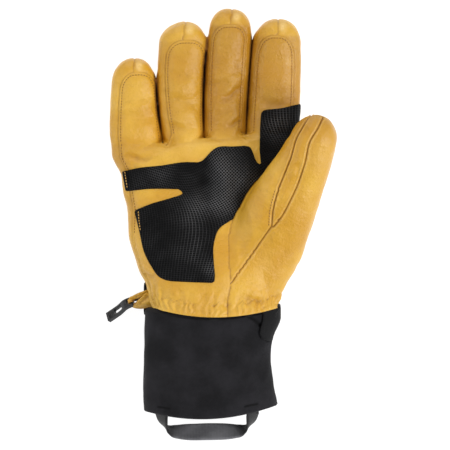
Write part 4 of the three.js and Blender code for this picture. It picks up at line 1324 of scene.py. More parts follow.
@dataclass
class SewnLeather:
    """The leather hand: one skin cut into panels, sunk at its seams, puffed up and gathered at the wrist."""

    bench: Bench
    form: HandForm
    pattern: Pattern
    wall: float = 1.8
    seam_depth: float = 0.6
    puff: float = 0.8
    puff_reach: float = 7.0
    stitch_inset: float = 1.9
    gather_height: float = 10.0
    gather_depth: float = 0.58
    pleat_pitch: float = 3.7
    elastic_height: float = 8.6
    zigzag_pitch: float = 6.0
    zigzag_height: float = 2.6
    slit_gap: float = -0.2
    slit_reach: tuple[float, float] = (4.2, 8.0)
    slit_shade: tuple[float, float] = (0.7, 2.5)
    fold_depth: float = 1.35
    fold_shade: float = 0.34
    fold_light: float = 0.16
    cinch_left: float = 1.9
    cinch_right: float = 1.2
    broad_waves: float = 0.6
    small_waves: float = 0.24
    skin: Surface = field(init=False)
    labels: Array = field(init=False)
    crease: Array = field(init=False)
    painted_pad_shade: Array = field(init=False)

    def hem_height(self, points: Array) -> Array:
        """How far each point is above the leather's hem."""
        left, right, *_ = self.form.section(HAND_ROWS[0][0])
        u = np.clip((points[:, 0] - (left + right) / 2) / ((right - left) / 2), -1.0, 1.0)
        return points[:, 1] - self.form.hem_side + self.form.hem_rise * (1 - u * u)

    def cut(self) -> None:
        """Makes the skin, trims it at the hem and marks which panel each face belongs to."""
        skin = self.form.skin()
        hem = skin.snap(self.hem_height(skin.points))
        skin, _ = skin.part(skin.sides(hem))
        pattern = self.pattern
        thumb = skin.snap(pattern.thumb_field(skin.points))
        zones = {}
        for palm in (True, False):
            outline = pattern.outline(palm)
            above = (skin.points[:, 2] > pattern.middle_height(skin.points)) == palm
            plan = inside(skin.points[:, :2], outline)
            zones[palm] = skin.snap(np.where(above, plan, -np.abs(plan) - 0.5))
        inner = skin.snap(pattern.inner_field(skin.points))
        wedge = skin.snap(pattern.wedge_field(skin.points))
        for index in range(len(FINGERS)):
            skin.snap(pattern.tip_field(index, skin.points))
        middles = skin.points[skin.faces].mean(axis=1)
        labels = pattern.strip_of(middles) + PANELS.index(STRIPS[0])
        labels[skin.sides(zones[False])] = PANELS.index(Panel.BACK)
        labels[skin.sides(zones[True])] = PANELS.index(Panel.PALM)
        on_thumb = skin.sides(thumb)
        labels[on_thumb] = PANELS.index(Panel.THUMB_OUTER)
        labels[on_thumb & skin.sides(wedge)] = PANELS.index(Panel.THUMB_WEDGE)
        labels[on_thumb & skin.sides(inner)] = PANELS.index(Panel.THUMB_INNER)
        self.skin, self.labels = skin, labels

    def seam_points(self, wanted: Callable[[Array, Array], Array]) -> Array:
        """Points along the seams between panels.

        Args:
            wanted: tells from the two panels' numbers whether a seam is wanted.

        Returns:
            Points a quarter of a cell apart.
        """
        pairs = np.sort(corner_pairs(self.skin.faces), axis=1)
        edges, inverse = np.unique(pairs, axis=0, return_inverse=True)
        owner = np.tile(self.labels, 3)
        low, high = np.full(len(edges), 99), np.full(len(edges), -1)
        np.minimum.at(low, inverse.ravel(), owner)
        np.maximum.at(high, inverse.ravel(), owner)
        seams = edges[(low != high) & wanted(low, high)]
        a, b = self.skin.points[seams[:, 0]], self.skin.points[seams[:, 1]]
        return np.vstack([a + (b - a) * t for t in (0.0, 0.25, 0.5, 0.75)])

    def label_points(self, panels: Sequence[Panel]) -> Array:
        """1 at the points of these panels' faces."""
        numbers = [PANELS.index(p) for p in panels]
        chosen = np.isin(self.labels, numbers)
        mask = np.zeros(len(self.skin.points))
        mask[np.unique(self.skin.faces[chosen])] = 1.0
        return mask

    def folds(self, points: Array, palm_side: Array) -> tuple[Array, Array]:
        """How far the soft creases sink the palm side, and their painted shade, less a painted highlight on one
        flank.
        """
        sink, dark = np.zeros(len(points)), np.zeros(len(points))
        for fold in FOLDS:
            a, b = np.array(photo(*fold.start)), np.array(photo(*fold.end))
            along = b - a
            t = ((points[:, :2] - a) @ along) / (along @ along)
            middle = 1 - np.clip(np.abs(t - 0.5) * 2, 0, 1.4) ** 2
            taper = np.clip(middle, 0, 1) ** 0.7
            wander = 0.5 * fold.width * np.sin(t * 5.0 + fold.start[0])
            side = (points[:, 0] - a[0]) * -along[1] + (points[:, 1] - a[1]) * along[0]
            away = side / np.linalg.norm(along) + wander
            valley = bell(away, fold.width)
            off, wide = 2.1 * fold.width, 1.1 * fold.width
            ridge = bell(away - off, wide) + bell(away + off, wide)
            sink += self.fold_depth * fold.depth * taper * (valley - 0.35 * ridge) * palm_side
            # Painted shade in the crease's valley
            dark += self.fold_shade * fold.depth * taper * bell(away, 0.8 * fold.width) * palm_side
            # Painted highlight on the crease's lit flank
            lit = bell(away - 1.9 * fold.width, fold.width)
            dark -= self.fold_light * fold.depth * taper * lit * palm_side
        return sink, dark

    def gathers(self, points: Array) -> tuple[Array, Array]:
        """The pleats that the wrist's elastic draws up: how far they stand out, and their painted shade in the
        troughs and along the elastic's line.
        """
        left, right, low, high, _ = self.form.section(0.0)
        u = (points[:, 0] - (left + right) / 2) / ((right - left) / 2)
        v = (points[:, 2] - (low + high) / 2) / ((high - low) / 2)
        run = np.arctan2(v, u) * ((right - left) + (high - low)) / 4 * 1.12
        height = self.hem_height(points)
        near = height < 1.6 * self.gather_height
        wander = np.zeros(len(points))
        shift = np.zeros(len(points))
        around = np.stack([run, np.zeros_like(run), height * 0.5], -1)
        wander[near] = fine_noise(around[near], 9.0, 3.7)
        shift[near] = fine_noise(around[near], 4.0, 9.1)
        turn = 2 * math.pi / self.pleat_pitch
        pleat = np.sin(run * turn + 4.5 * wander + 0.9 * np.sin(height * 0.9 + 4 * wander))
        tuck = np.sin(run * turn * 0.53 + 5.0 * wander + 0.5 * np.sin(height * 0.45))
        rise = smoothstep(height, 0.6, 2.6) * (1 - smoothstep(height, 7.5, self.gather_height + 2 * wander))
        high = smoothstep(height, 5.0, 9.0) * (1 - smoothstep(height, 12.0, 20.0 + 5 * wander))
        beat = run / self.zigzag_pitch + 0.55 * wander
        zigzag = np.abs(2 * (beat - np.floor(beat)) - 1)
        line = height - self.elastic_height + self.zigzag_height * (zigzag - 0.5) - 0.7 * shift
        drawn = 0.45 + 0.55 * smoothstep(fine_noise(around, 8.0, 6.6), -0.5, 0.2)
        valley = bell(zigzag - 1.0, 0.35) * high + bell(zigzag, 0.3) * rise
        ripple = self.gather_depth * (rise * (0.9 * pleat + 0.8 * shift) + high * (0.5 * tuck + 0.9 * shift))
        ripple -= (
            (0.5 * bell(line, 0.75) + 0.35 * valley) * drawn + 0.3 * bell(height - self.elastic_height, 3.5)
        )
        # Painted shade in the pleats' troughs and along the elastic's sunk zigzag line
        dark = np.clip(-pleat - 0.4, 0, 1) * rise * 0.2 + np.clip(-tuck - 0.5, 0, 1) * high * 0.12
        dark += (0.5 * bell(line, 0.4) + 0.14 * valley) * drawn
        return ripple, dark

    def slit_lines(self, y: Array) -> Array:
        """Where the middle of each gap between two fingers is, at heights along the hand."""
        form = self.form
        edges = []
        for index, finger in enumerate(FINGERS):
            along = np.clip((y - form.palm_length + finger.root_drop) / finger.length, 0.0, 1.0)
            at = form.finger_at(index, along)
            edges.append((at["x"] - at["half_width"], at["x"] + at["half_width"]))
        return np.array([(a[1] + b[0]) / 2 for a, b in zip(edges[:-1], edges[1:])])

    def ease(
        self, line: Sequence[tuple[float, float]], reach: tuple[float, float], above: float, rounds: int
    ) -> None:
        """Evens the skin out along a line.

        Args:
            line: its places in the photograph.
            reach: how far from it the skin is evened fully, and at all.
            above: the height above which it is.
            rounds: how often each point moves to the middle of its neighbours.
        """
        skin = self.skin
        away = to_segments(skin.points[:, :2], np.array([photo(*p) for p in line]))
        share = (1 - smoothstep(away, *reach)) * smoothstep(skin.points[:, 2], above - 3.0, above + 3.0)
        moving = share[:, None] * 0.9
        edges = skin.edges()
        for _ in range(rounds):
            skin.points = skin.points + moving * (skin.spread(skin.points, edges) - skin.points)

    def cinch(self, points: Array) -> Array:
        """How far the elastic draws the wrist's two sides in."""
        height = self.hem_height(points)
        left = smoothstep(-points[:, 0], 34.0, 42.0) * bell(height - 16.5, 6.0)
        right = smoothstep(points[:, 0], 34.0, 44.0) * bell(height - 13.0, 6.0)
        return self.cinch_left * left + self.cinch_right * right

    def press_fingers(self) -> tuple[Array, Array]:
        """Presses the fingers against each other below their middles, as padded fingers lie.

        Returns:
            How deep in a slit each point is, which sets its painted shadow, and how firmly it is held there,
            from 0 to 1.
        """
        skin, form = self.skin, self.form
        x, y, z = skin.points.T.copy()
        depth, held = np.zeros(len(x)), np.zeros(len(x))
        middle = self.pattern.middle_height(skin.points)
        for k, line in enumerate(self.slit_lines(y)):
            tips = [form.palm_length - f.root_drop + f.length for f in FINGERS[k : k + 2]]
            away = x - line
            beyond = smoothstep(y, form.palm_length - 13.0, form.palm_length - 6.0)
            open_way = 0.4 + 0.6 * smoothstep(y, form.palm_length - 8.0, form.palm_length + 20.0)
            before_tip = 1 - smoothstep(y, min(tips) - 16.0, min(tips) - 6.0)
            low = 1 - smoothstep(z - middle, -1.0, 6.0)
            near = 1 - smoothstep(np.abs(away), *self.slit_reach)
            share = beyond * before_tip * low * near
            kept = np.sign(away) * np.minimum(np.abs(away), self.slit_gap)
            x = x + share * (line + kept - x)
            # Painted shadow along the gap between two fingers, fading up their sides
            dim = 1 - smoothstep(z - middle, 1.0, 9.0)
            dark = 1 - smoothstep(np.abs(away) / open_way, *self.slit_shade)
            depth = np.maximum(depth, beyond * before_tip * dim * dark)
            held = np.maximum(held, share * (1 - smoothstep(np.abs(away), 1.5, 4.0)))
        skin.points = np.stack([x, y, z], -1)
        return depth, held

    def shades(self, points: Array) -> tuple[Array, Array]:
        """How much painted shade browns each finger's leather against the palm's, and how much painted
        highlight each point gets.
        """
        form = self.form
        edge = np.full(len(points), FAR)
        lines = np.vstack([-edge, self.slit_lines(points[:, 1]), edge])
        up = smoothstep(points[:, 1], form.palm_length - 12.0, form.palm_length + 12.0)
        painted_shade, stretched = np.zeros(len(points)), np.zeros(len(points))
        for index, finger in enumerate(FINGERS):
            here = (points[:, 0] > lines[index]) & (points[:, 0] <= lines[index + 1])
            tip = form.palm_length - finger.root_drop + finger.length
            middle = form.finger_at(index, 0.95)["x"] + 3.4
            away = np.hypot((points[:, 0] - middle) / 3.0, (points[:, 1] - tip + 5.4) / 4.2)
            before = 1 - smoothstep(points[:, 1], tip - finger.cap - 2.0, tip - finger.cap + 1.0)
            # Painted shade browns each finger, most below its cap
            painted_shade += here * finger.shade * up * (0.3 + 0.7 * before)
            # Painted highlight on each cap, right of its middle seam
            stretched += here * 0.7 * bell(away, 1.0)
        # Painted highlights at the listed places
        for place, reach, share in PAINTED_HIGHLIGHTS:
            stretched += share * bell(np.linalg.norm(points[:, :2] - np.array(photo(*place)), axis=1), reach)
        return painted_shade, stretched

    def shape(self) -> None:
        """Sinks the seams, puffs the panels, adds folds and gathers, and finds each point's painted shade and
        painted highlight.
        """
        self.ease(THUMB_ROOT, (5.0, 12.0), 25.0, 90)
        self.ease(PINKY_ROOT, (3.0, 9.0), 4.0, 60)
        slit, held = self.press_fingers()
        points, normals = self.skin.points, self.skin.normals()
        palm, thumb = PANELS.index(Panel.PALM), PANELS.index(THUMB_PANELS[0])
        all_seams = distance_to(points, self.seam_points(lambda low, high: low >= 0))
        tongue = distance_to(points, self.seam_points(lambda low, high: (low == palm) & (high < thumb)))
        front = distance_to(points, self.seam_points(lambda low, high: low >= thumb))
        palm_side = smoothstep(points[:, 2] - self.pattern.middle_height(points), 1.0, 7.0)
        on_palm, on_thumb = self.label_points([Panel.PALM]), self.label_points(THUMB_PANELS)
        off_floor = smoothstep(points[:, 2], 0.6, 7.0)
        upward = 0.15 + 0.85 * smoothstep(normals[:, 2], 0.0, 0.7)
        lift = self.puff * upward * smoothstep(all_seams, 0.4, self.puff_reach)
        lift -= self.seam_depth * bell(all_seams, 0.6)
        ridge, stitches = bell(tongue - 0.95, 0.5), bell(tongue - self.stitch_inset, 0.5)
        lift += on_palm * palm_side * (0.4 * ridge - 0.36 * stitches)
        lift += on_thumb * (0.55 * bell(front - 1.1, 0.6) - 0.35 * bell(front, 0.5))
        high = np.maximum(palm_side, on_thumb)
        sink, fold_dark = self.folds(points, high)
        ripple, gather_dark = self.gathers(points)
        broad = self.broad_waves * fine_noise(points, 17.0, 1.3)
        small = self.small_waves * fine_noise(points, 6.0, 5.9)
        lift += ripple - sink - self.cinch(points) + broad * upward + small - 0.25 * (1 - upward)
        lift *= 1 - np.maximum(slit, held)
        moved = points + normals * (lift * off_floor)[:, None]
        moved[:, 2] = np.maximum(moved[:, 2], 0.05)
        self.skin.points = moved
        # Painted shade along the seams and the palm's stitch lines, painted highlight on the ridges beside the
        # tongues' and the thumb's front seams
        seam_dark = 0.62 * bell(all_seams, 0.5) - 0.24 * bell(tongue, 0.5)
        seam_dark += 0.16 * on_palm * stitches
        seam_dark += on_thumb * (0.6 * bell(front, 0.45) - 0.45 * bell(front - 1.1, 0.5))
        seam_dark -= on_palm * palm_side * 0.3 * bell(tongue - 0.95, 0.45)
        # Painted shade on the finger pads and painted highlights, on the palm's side and the thumb only
        self.painted_pad_shade, stretched = (share * high for share in self.shades(points))
        # Painted shade and highlight from seams, folds and gathers, plus painted shadow in the slits
        self.crease = np.clip(seam_dark + fold_dark + gather_dark - stretched, -1.0, 1.0) + 1.9 * slit

    def panel(self, panel: Panel, normals: Array) -> None:
        """Makes one panel with its wall."""
        part, used = self.skin.part(self.labels == PANELS.index(panel))
        walled, directions, slots, old = thickened(part, normals[used], self.wall)
        walled.points[:, 2] = np.maximum(walled.points[:, 2], 0.04)
        name = panel.value.replace("_panel", "_leather")
        piece = self.bench.add(
            f"{name}_sewn",
            walled,
            (Finish.LEATHER, Finish.INSIDE),
            # Painted shade and highlight, and the finger pads' painted shade
            {"crease": self.crease[used][old], "painted_pad_shade": self.painted_pad_shade[used][old]},
            slots,
            directions,
            (panel.value,),
        )

    def build(self) -> None:
        """Cuts, shapes and makes every panel."""
        self.cut()
        self.shape()
        normals = self.skin.normals()
        for panel in PANELS:
            self.panel(panel, normals)


# Where painted sheen greys the patch's ridges, held back by negative shares in its valley: a place in the
# photograph, how far it reaches, and how grey it is
PAINTED_PATCH_SHEEN = (
    ((221, 164), 12.0, 0.9),
    ((226, 186), 11.0, 0.9),
    ((246, 178), 10.0, 0.6),
    ((203, 200), 10.0, 0.8),
    ((190, 216), 9.0, 0.6),
    ((226, 205), 9.0, 0.8),
    ((160, 178), 12.0, 0.45),
    ((272, 128), 9.0, 0.7),
    ((282, 118), 8.0, 0.6),
    ((190, 250), 14.0, 0.35),
    ((214, 270), 7.0, 0.6),
    ((204, 162), 5.0, -0.5),
    ((205, 180), 5.0, -0.5),
    ((206, 196), 5.0, -0.4),
)


@dataclass
class GripPatch:
    """The black patch sewn over the palm and up the index, pressed with a curved lattice."""

    bench: Bench
    leather: SewnLeather
    thickness: float = 0.85
    edge: float = 0.7
    border: float = 1.9
    groove_depth: float = 0.25
    pitch: float = 1.56
    web: tuple[float, float] = (18.0, 86.0)
    twist: float = 46.0
    twist_reach: float = 52.0
    top: Surface = field(init=False)

    def outline(self) -> Array:
        """The patch's outline in plan."""
        form = self.leather.form
        line = []
        for kind, shares in PATCH_OUTLINE:
            placed = [(float(form.across(x)), y * form.palm_length) for x, y in shares]
            if kind == "curve":
                placed = spline([line[-1], *placed])[1:].tolist()
            line.extend(tuple(p) for p in placed)
        return np.array(line)

    def build(self) -> None:
        """Lifts the patch off the leather that it is sewn to."""
        skin = Surface(self.leather.skin.points.copy(), self.leather.skin.faces)
        normals = skin.normals()
        height = skin.points[:, 2] - self.leather.pattern.middle_height(skin.points)
        plan = inside(skin.points[:, :2], self.outline())
        within = skin.snap(np.minimum(plan, height))
        chosen = skin.sides(within) & (self.leather.labels < PANELS.index(THUMB_PANELS[0]))
        part, used = skin.part(chosen)
        part.smooth(2, np.unique(part.rim()))
        rim = part.points[part.rim()].reshape(-1, 2, 3)
        depth = distance_to(part.points, np.vstack([rim[:, 0], rim.mean(axis=1)]))
        rise = self.thickness * (0.45 + 0.55 * smoothstep(depth, 0.0, self.edge))
        groove = self.groove_depth * bell(depth - self.border, 0.5)
        part.points = part.points + normals[used] * (rise - groove)[:, None]
        directions = part.normals()
        walled, directions, slots, old = thickened(part, directions, self.thickness * 0.9)
        x, y = part.points[:, 0] - self.web[0], part.points[:, 1] - self.web[1]
        turn = -math.radians(self.twist) * bell(np.hypot(x, y), self.twist_reach)
        warp = fine_noise(part.points, 38.0, 2.0) * 2.4
        # Painted sheen at the listed places
        painted_sheen = np.zeros(len(x))
        for place, reach, share in PAINTED_PATCH_SHEEN:
            cx, cy = photo(*place)
            painted_sheen += share * bell(np.hypot(part.points[:, 0] - cx, part.points[:, 1] - cy), reach)
        carried = {
            "lattice_u": ((x * np.cos(turn) - y * np.sin(turn) + warp) / self.pitch)[old],
            "lattice_v": ((x * np.sin(turn) + y * np.cos(turn) - warp) / self.pitch)[old],
            "painted_sheen": np.clip(painted_sheen, 0, 1)[old],
        }
        self.bench.add(
            "grip_patch_pressed", walled, (Finish.GRIP,), carried, slots * 0, directions, ("grip_patch",)
        )
        self.top = part


# The rows of stitches that show along the patch's two left ends, in the photograph
PATCH_STITCHES = (((124.9, 171.5), (126.2, 180), (128, 190.5)), ((138.4, 211), (139.4, 222), (141, 234)))


@dataclass
class Stitching:
    """Rows of stitches: tan ones sunk into the leather beside its seams, pale ones on the patch's ends."""

    bench: Bench
    leather: SewnLeather
    patch: GripPatch
    pitch: float = 1.9
    length: float = 1.35
    radius: float = 0.3

    def along(self, line: Array) -> Array:
        """Places at even steps along a plan line."""
        run = np.concatenate([[0.0], np.cumsum(np.hypot(*np.diff(line, axis=0).T))])
        at = np.arange(0.5 * self.pitch, run[-1], self.pitch)
        return np.stack([np.interp(at, run, line[:, k]) for k in range(2)], -1)

    def stitch(self, place: Vector, up: Vector, way: Vector) -> Surface:
        """One stitch: a little tapered lozenge lying in the leather."""
        side = up.cross(way).normalized()
        way = side.cross(up).normalized()
        rings = []
        for share, fat in ((-0.5, 0.35), (-0.3, 0.9), (0.0, 1.0), (0.3, 0.9), (0.5, 0.35)):
            middle = place + way * (share * self.length) - up * (0.25 * self.radius * (4 * share * share))
            ring = [
                middle + (side * math.cos(a) + up * math.sin(a)) * self.radius * fat
                for a in np.radians([0, 60, 120, 180, 240, 300])
            ]
            rings.append([tuple(p) for p in ring])
        return Surface.lofted(np.array(rings))

    def row(self, line: Array, ground: "Ground") -> list[Surface]:
        """A row of stitches along a plan line, laid on the skin below it."""
        stitches = []
        places = self.along(line)
        for here, ahead in zip(places[:-1], places[1:]):
            hit, up = ground.under(here)
            if hit is None or up.z < 0.25:
                continue
            way = Vector((ahead[0] - here[0], ahead[1] - here[1], 0.0))
            way -= up * way.dot(up)
            stitches.append(self.stitch(hit + up * (0.2 * self.radius), up, way.normalized()))
        return stitches

    def lines(self) -> list[Array]:
        """Where the rows run in plan."""
        lines = []
        inset = self.leather.stitch_inset
        for index in range(len(FINGERS)):
            tongue = self.leather.pattern.tongue(index, True)
            way = np.gradient(tongue, axis=0)
            way /= np.maximum(np.hypot(*way.T)[:, None], 1e-9)
            lines.append(tongue + np.stack([way[:, 1], -way[:, 0]], -1) * inset)
        side = self.leather.pattern.hand_side(-1, True)
        lines.append(side[side[:, 1] > photo(0, 235)[1]] + np.array([inset, 0.0]))
        seam = self.leather.pattern.thumb_seam("left")
        low = seam[(seam[:, 1] > photo(0, 236)[1]) & (seam[:, 1] < photo(0, 186)[1])]
        lines.append(low - np.array([2.0, 0.0]))
        return lines

    def build(self) -> None:
        """Makes the rows on the leather as one piece, and those on the patch as another."""
        ground, patch = Ground(self.leather.skin), Ground(self.patch.top)
        stitches = [s for line in self.lines() for s in self.row(line, ground)]
        patch_lines = [np.array([photo(*p) for p in ends]) for ends in PATCH_STITCHES]
        on_patch = [s for line in patch_lines for s in self.row(line, patch)]
        self.bench.add("tan_topstitch", Surface.joined(stitches), (Finish.THREAD,))
        self.bench.add("patch_topstitch", Surface.joined(on_patch), (Finish.PATCH_THREAD,))


class Ground:
    """A skin seen from straight above, to lay stitches on it."""

    def __init__(self, skin: Surface) -> None:
        """Keeps the skin ready to be looked down on."""
        self.tree = BVHTree.FromPolygons(skin.points.tolist(), skin.faces.tolist())

    def under(self, place: Array) -> tuple[Vector | None, Vector | None]:
        """The skin's place and direction below a plan place."""
        hit, up, _, _ = self.tree.ray_cast(Vector((place[0], place[1], FAR)), Vector((0, 0, -1)))
        return hit, up


# Along is a share of the cuff's length below the leather's hem, left and right are shares of its width, and
# low and high are shares of its depth
CUFF_COLUMNS = ("along", "left", "right", "low", "high")
CUFF_ROWS = (
    (0, -0.484, 0.505, 0.08, 1.04),
    (0.14, -0.49, 0.492, 0.05, 1.04),
    (0.3, -0.493, 0.46, 0.01, 1.0),
    (0.5, -0.496, 0.452, -0.03, 0.98),
    (0.75, -0.5, 0.47, -0.04, 0.95),
    (1, -0.49, 0.5, -0.04, 0.9),
)


@dataclass
class ClothCuff:
    """The black cloth gauntlet: an open tube with a turned hem, its top tucked under the leather."""

    bench: Bench
    form: HandForm
    length: float = 66.6
    width: float = 91.0
    depth: float = 40.0
    wall: float = 2.8
    tuck: float = 8.0
    neck_inset: float = 3.0
    clearance: float = 0.8
    hem_drop: float = 7.0
    hem_tilt: float = 2.0
    squareness: float = 2.3
    turned_hem: float = 9.0
    around: int = 200
    down: int = 90

    def shares(self) -> tuple[Array, Array]:
        """Points round the cuff as shares of its half sizes, from its underside on."""
        return superellipse(even_angles(self.squareness, self.around) - math.pi / 2, self.squareness)

    def ring(self, along: float, grow: float) -> Array:
        """One ring round the cuff, moved out by grow."""
        row = row_at(CUFF_COLUMNS, CUFF_ROWS, along)
        left, right = row["left"] * self.width - grow, row["right"] * self.width + grow
        low, high = row["low"] * self.depth - grow, row["high"] * self.depth + grow
        u, v = self.shares()
        share = float(smoothstep(np.array(along), 0.2, 1.0))
        droop = self.form.hem_rise + (self.hem_drop - self.form.hem_rise) * share
        y = self.form.hem_side - self.clearance - along * self.length
        x, z = oval(left, right, low, high, u, v)
        return np.stack([x, y + self.hem_tilt * share * u - droop * (1 - u * u), z], -1)

    def neck(self, up: float, grow: float) -> Array:
        """A ring inside the leather, above its hem."""
        first = HAND_ROWS[0][0]
        along = first + up / self.form.palm_length
        span = (HAND_ROWS[1][0] - first) * self.form.palm_length
        left, right, low, high, _ = self.form.section(along)
        inset = self.neck_inset - grow
        u, v = self.shares()
        x, z = oval(left + inset, right - inset, low + inset, high - inset, u, v)
        droop = self.form.hem_rise * (1 - min(up / span, 1.0))
        return np.stack([x, self.form.hem_side + up - droop * (1 - u * u), z], -1)

    def wrinkles(self, points: Array, along: Array) -> tuple[Array, Array]:
        """Soft creases in the cloth: how far they lift it, and their painted shade."""
        stretched = points * np.array([1.0, 0.45, 1.0])
        broad = fine_noise(stretched, 15.0, 4.2)
        slanted = points @ np.array([[1, 0.4, 0], [-0.7, 0.5, 0], [0, 0, 1.0]])
        fine = fine_noise(slanted, 7.0, 8.8)
        tight = smoothstep(along, 0.0, 0.12) * (1 - 0.6 * smoothstep(along, 0.86, 0.95))
        lift = (1.0 * broad + 0.4 * fine) * tight
        line = self.length * (1 - along) - self.turned_hem
        lift += 0.35 * smoothstep(-line, -1.5, 2.5)
        x, y = points[:, 0], points[:, 1]
        top = points[:, 2] > 0.45 * self.depth
        dark = np.zeros(len(points))
        for place, size, turn in (((251.5, 407.5), (5.6, 1.7), 11.0), ((163.5, 410.2), (5.2, 1.6), -9.0)):
            cx, cy = photo(*place)
            c, s = math.cos(math.radians(turn)), math.sin(math.radians(turn))
            a, b = (x - cx) * c + (y - cy) * s, -(x - cx) * s + (y - cy) * c
            tab = smoothstep(size[0] - np.abs(a), 0.0, 1.5) * top
            lift += tab * (0.8 * bell(b + 0.4, size[1]) - 0.9 * bell(b - 1.9, 0.8))
            # Painted shade in the groove below each tab
            dark += tab * 0.9 * bell(b - 1.9, 0.8)
        cx, cy = photo(214.5, 325)
        lift -= 1.0 * bell(np.hypot((x - cx) * 1.4, (y - cy) * 0.8), 4.0) * top
        fold = np.array([photo(*p) for p in ((247, 315), (255, 320), (262, 327), (266, 333), (267.5, 340))])
        away = to_segments(np.stack([x, y], -1), fold)
        lift += top * (0.5 * bell(away - 2.0, 1.6) - 1.5 * bell(away, 1.3))
        # Painted shade in the fold
        dark += top * 0.9 * bell(away, 1.1)
        return lift, np.clip(dark, 0, 1)

    def build(self) -> None:
        """Lofts the outside, the turned hem and the inside as one closed wall."""
        outside = np.linspace(0.0, 1.0, self.down)
        rings = [self.neck(self.tuck, 0.0), self.neck(self.tuck * 0.5, 0.2), self.neck(0.6, 0.6)]
        shoulder = [(-0.010, -2.2), (-0.002, -0.9), (0.012, -0.2)]
        rings += [self.ring(a, g) for a, g in shoulder]
        rings += [self.ring(a, 0.0) for a in outside[1:]]
        first_inside = len(rings)
        for degrees in (30, 60, 90, 120, 150):
            angle = math.radians(degrees)
            past_hem = math.sin(angle) * 0.45 * self.wall / self.length
            rings.append(self.ring(1 + past_hem, -self.wall / 2 * (1 - math.cos(angle))))
        rings += [self.ring(a, -self.wall) for a in np.linspace(1.0, 0.03, 30)]
        rings += [self.neck(0.6, -self.wall * 0.8), self.neck(self.tuck, -self.wall * 0.8)]
        stack = np.array(rings)
        surface = Surface.lofted(stack, closed=True)
        normals = surface.normals()
        along = (self.form.hem_side - self.clearance - surface.points[:, 1]) / self.length
        u = surface.points[:, 0] / (self.width / 2)
        along -= self.form.hem_rise * (1 - np.clip(u * u, 0, 1)) / self.length
        lift, dark = self.wrinkles(surface.points, np.clip(along, 0, 1))
        outer = np.zeros(stack.shape[:2])
        outer[6:first_inside] = 1.0
        outer = outer.ravel()
        lift *= outer * smoothstep(surface.points[:, 2], 0.5, 8.0)
        surface.points = surface.points + normals * lift[:, None]
        surface.points[:, 2] = np.maximum(surface.points[:, 2], 0.05)
        run = np.linalg.norm(np.diff(stack[40], axis=0, append=stack[40][:1]), axis=1)
        around = np.concatenate([[0.0], np.cumsum(run)[:-1]])
        step = np.linalg.norm(np.diff(stack, axis=0), axis=2).mean(axis=1)
        downward = np.concatenate([[0.0], np.cumsum(step)])
        carried = {
            "thread_u": np.tile(around, len(stack)),
            "thread_v": np.repeat(downward, self.around),
            # Painted shade in the cuff's folds
            "crease": dark * outer,
        }
        piece = self.bench.add("cloth_cuff", surface, (Finish.CUFF,), carried, stands_for=("cuff",))


@dataclass
class Ribbon:
    """A flat strip along a path, with rounded edges."""

    centres: Array
    across: Array
    widths: Array
    thickness: float
    sides: int = 10
    crown: float = 0.0

    def build(self) -> tuple[Surface, dict[str, Array]]:
        """Lofts the strip.

        Returns:
            The surface, and how far across and along the strip each of its points is.
        """
        way = np.gradient(self.centres, axis=0)
        way /= np.linalg.norm(way, axis=1, keepdims=True)
        side = self.across - np.einsum("ij,ij->i", self.across, way)[:, None] * way
        side /= np.linalg.norm(side, axis=1, keepdims=True)
        face = np.cross(way, side)
        spread = np.linspace(-1, 1, self.sides)
        half = self.thickness / 2
        run = np.concatenate([[0.0], np.cumsum(np.linalg.norm(np.diff(self.centres, axis=0), axis=1))])
        section_u = np.concatenate([spread, [1.0], spread[::-1], [-1.0]])
        edge = np.concatenate([np.zeros(self.sides), [1.0], np.zeros(self.sides), [1.0]])
        top = np.concatenate([np.ones(self.sides), [0.0], -np.ones(self.sides), [0.0]])
        rounded = 1 - 0.35 * smoothstep(np.abs(section_u), 0.86, 1.0)
        rings, across_at, along_at = [], [], []
        for k, centre in enumerate(self.centres):
            reach = section_u * (self.widths[k] / 2 - half * 0.5) + edge * np.sign(section_u) * half * 0.5
            bulge = top * half * rounded + self.crown * (1 - section_u**2) * np.where(edge > 0, 0, 1)
            rings.append(centre + reach[:, None] * side[k] + bulge[:, None] * face[k])
            across_at.append(reach)
            along_at.append(np.full(len(reach), run[k]))
        surface = Surface.lofted(np.array(rings))
        ends = len(surface.points) - len(rings) * len(section_u)
        u = np.concatenate([np.concatenate(across_at), np.zeros(ends)])
        v = np.concatenate([np.concatenate(along_at), np.zeros(ends)])
        return surface, {"thread_u": u, "thread_v": v, "crease": np.zeros(len(u))}


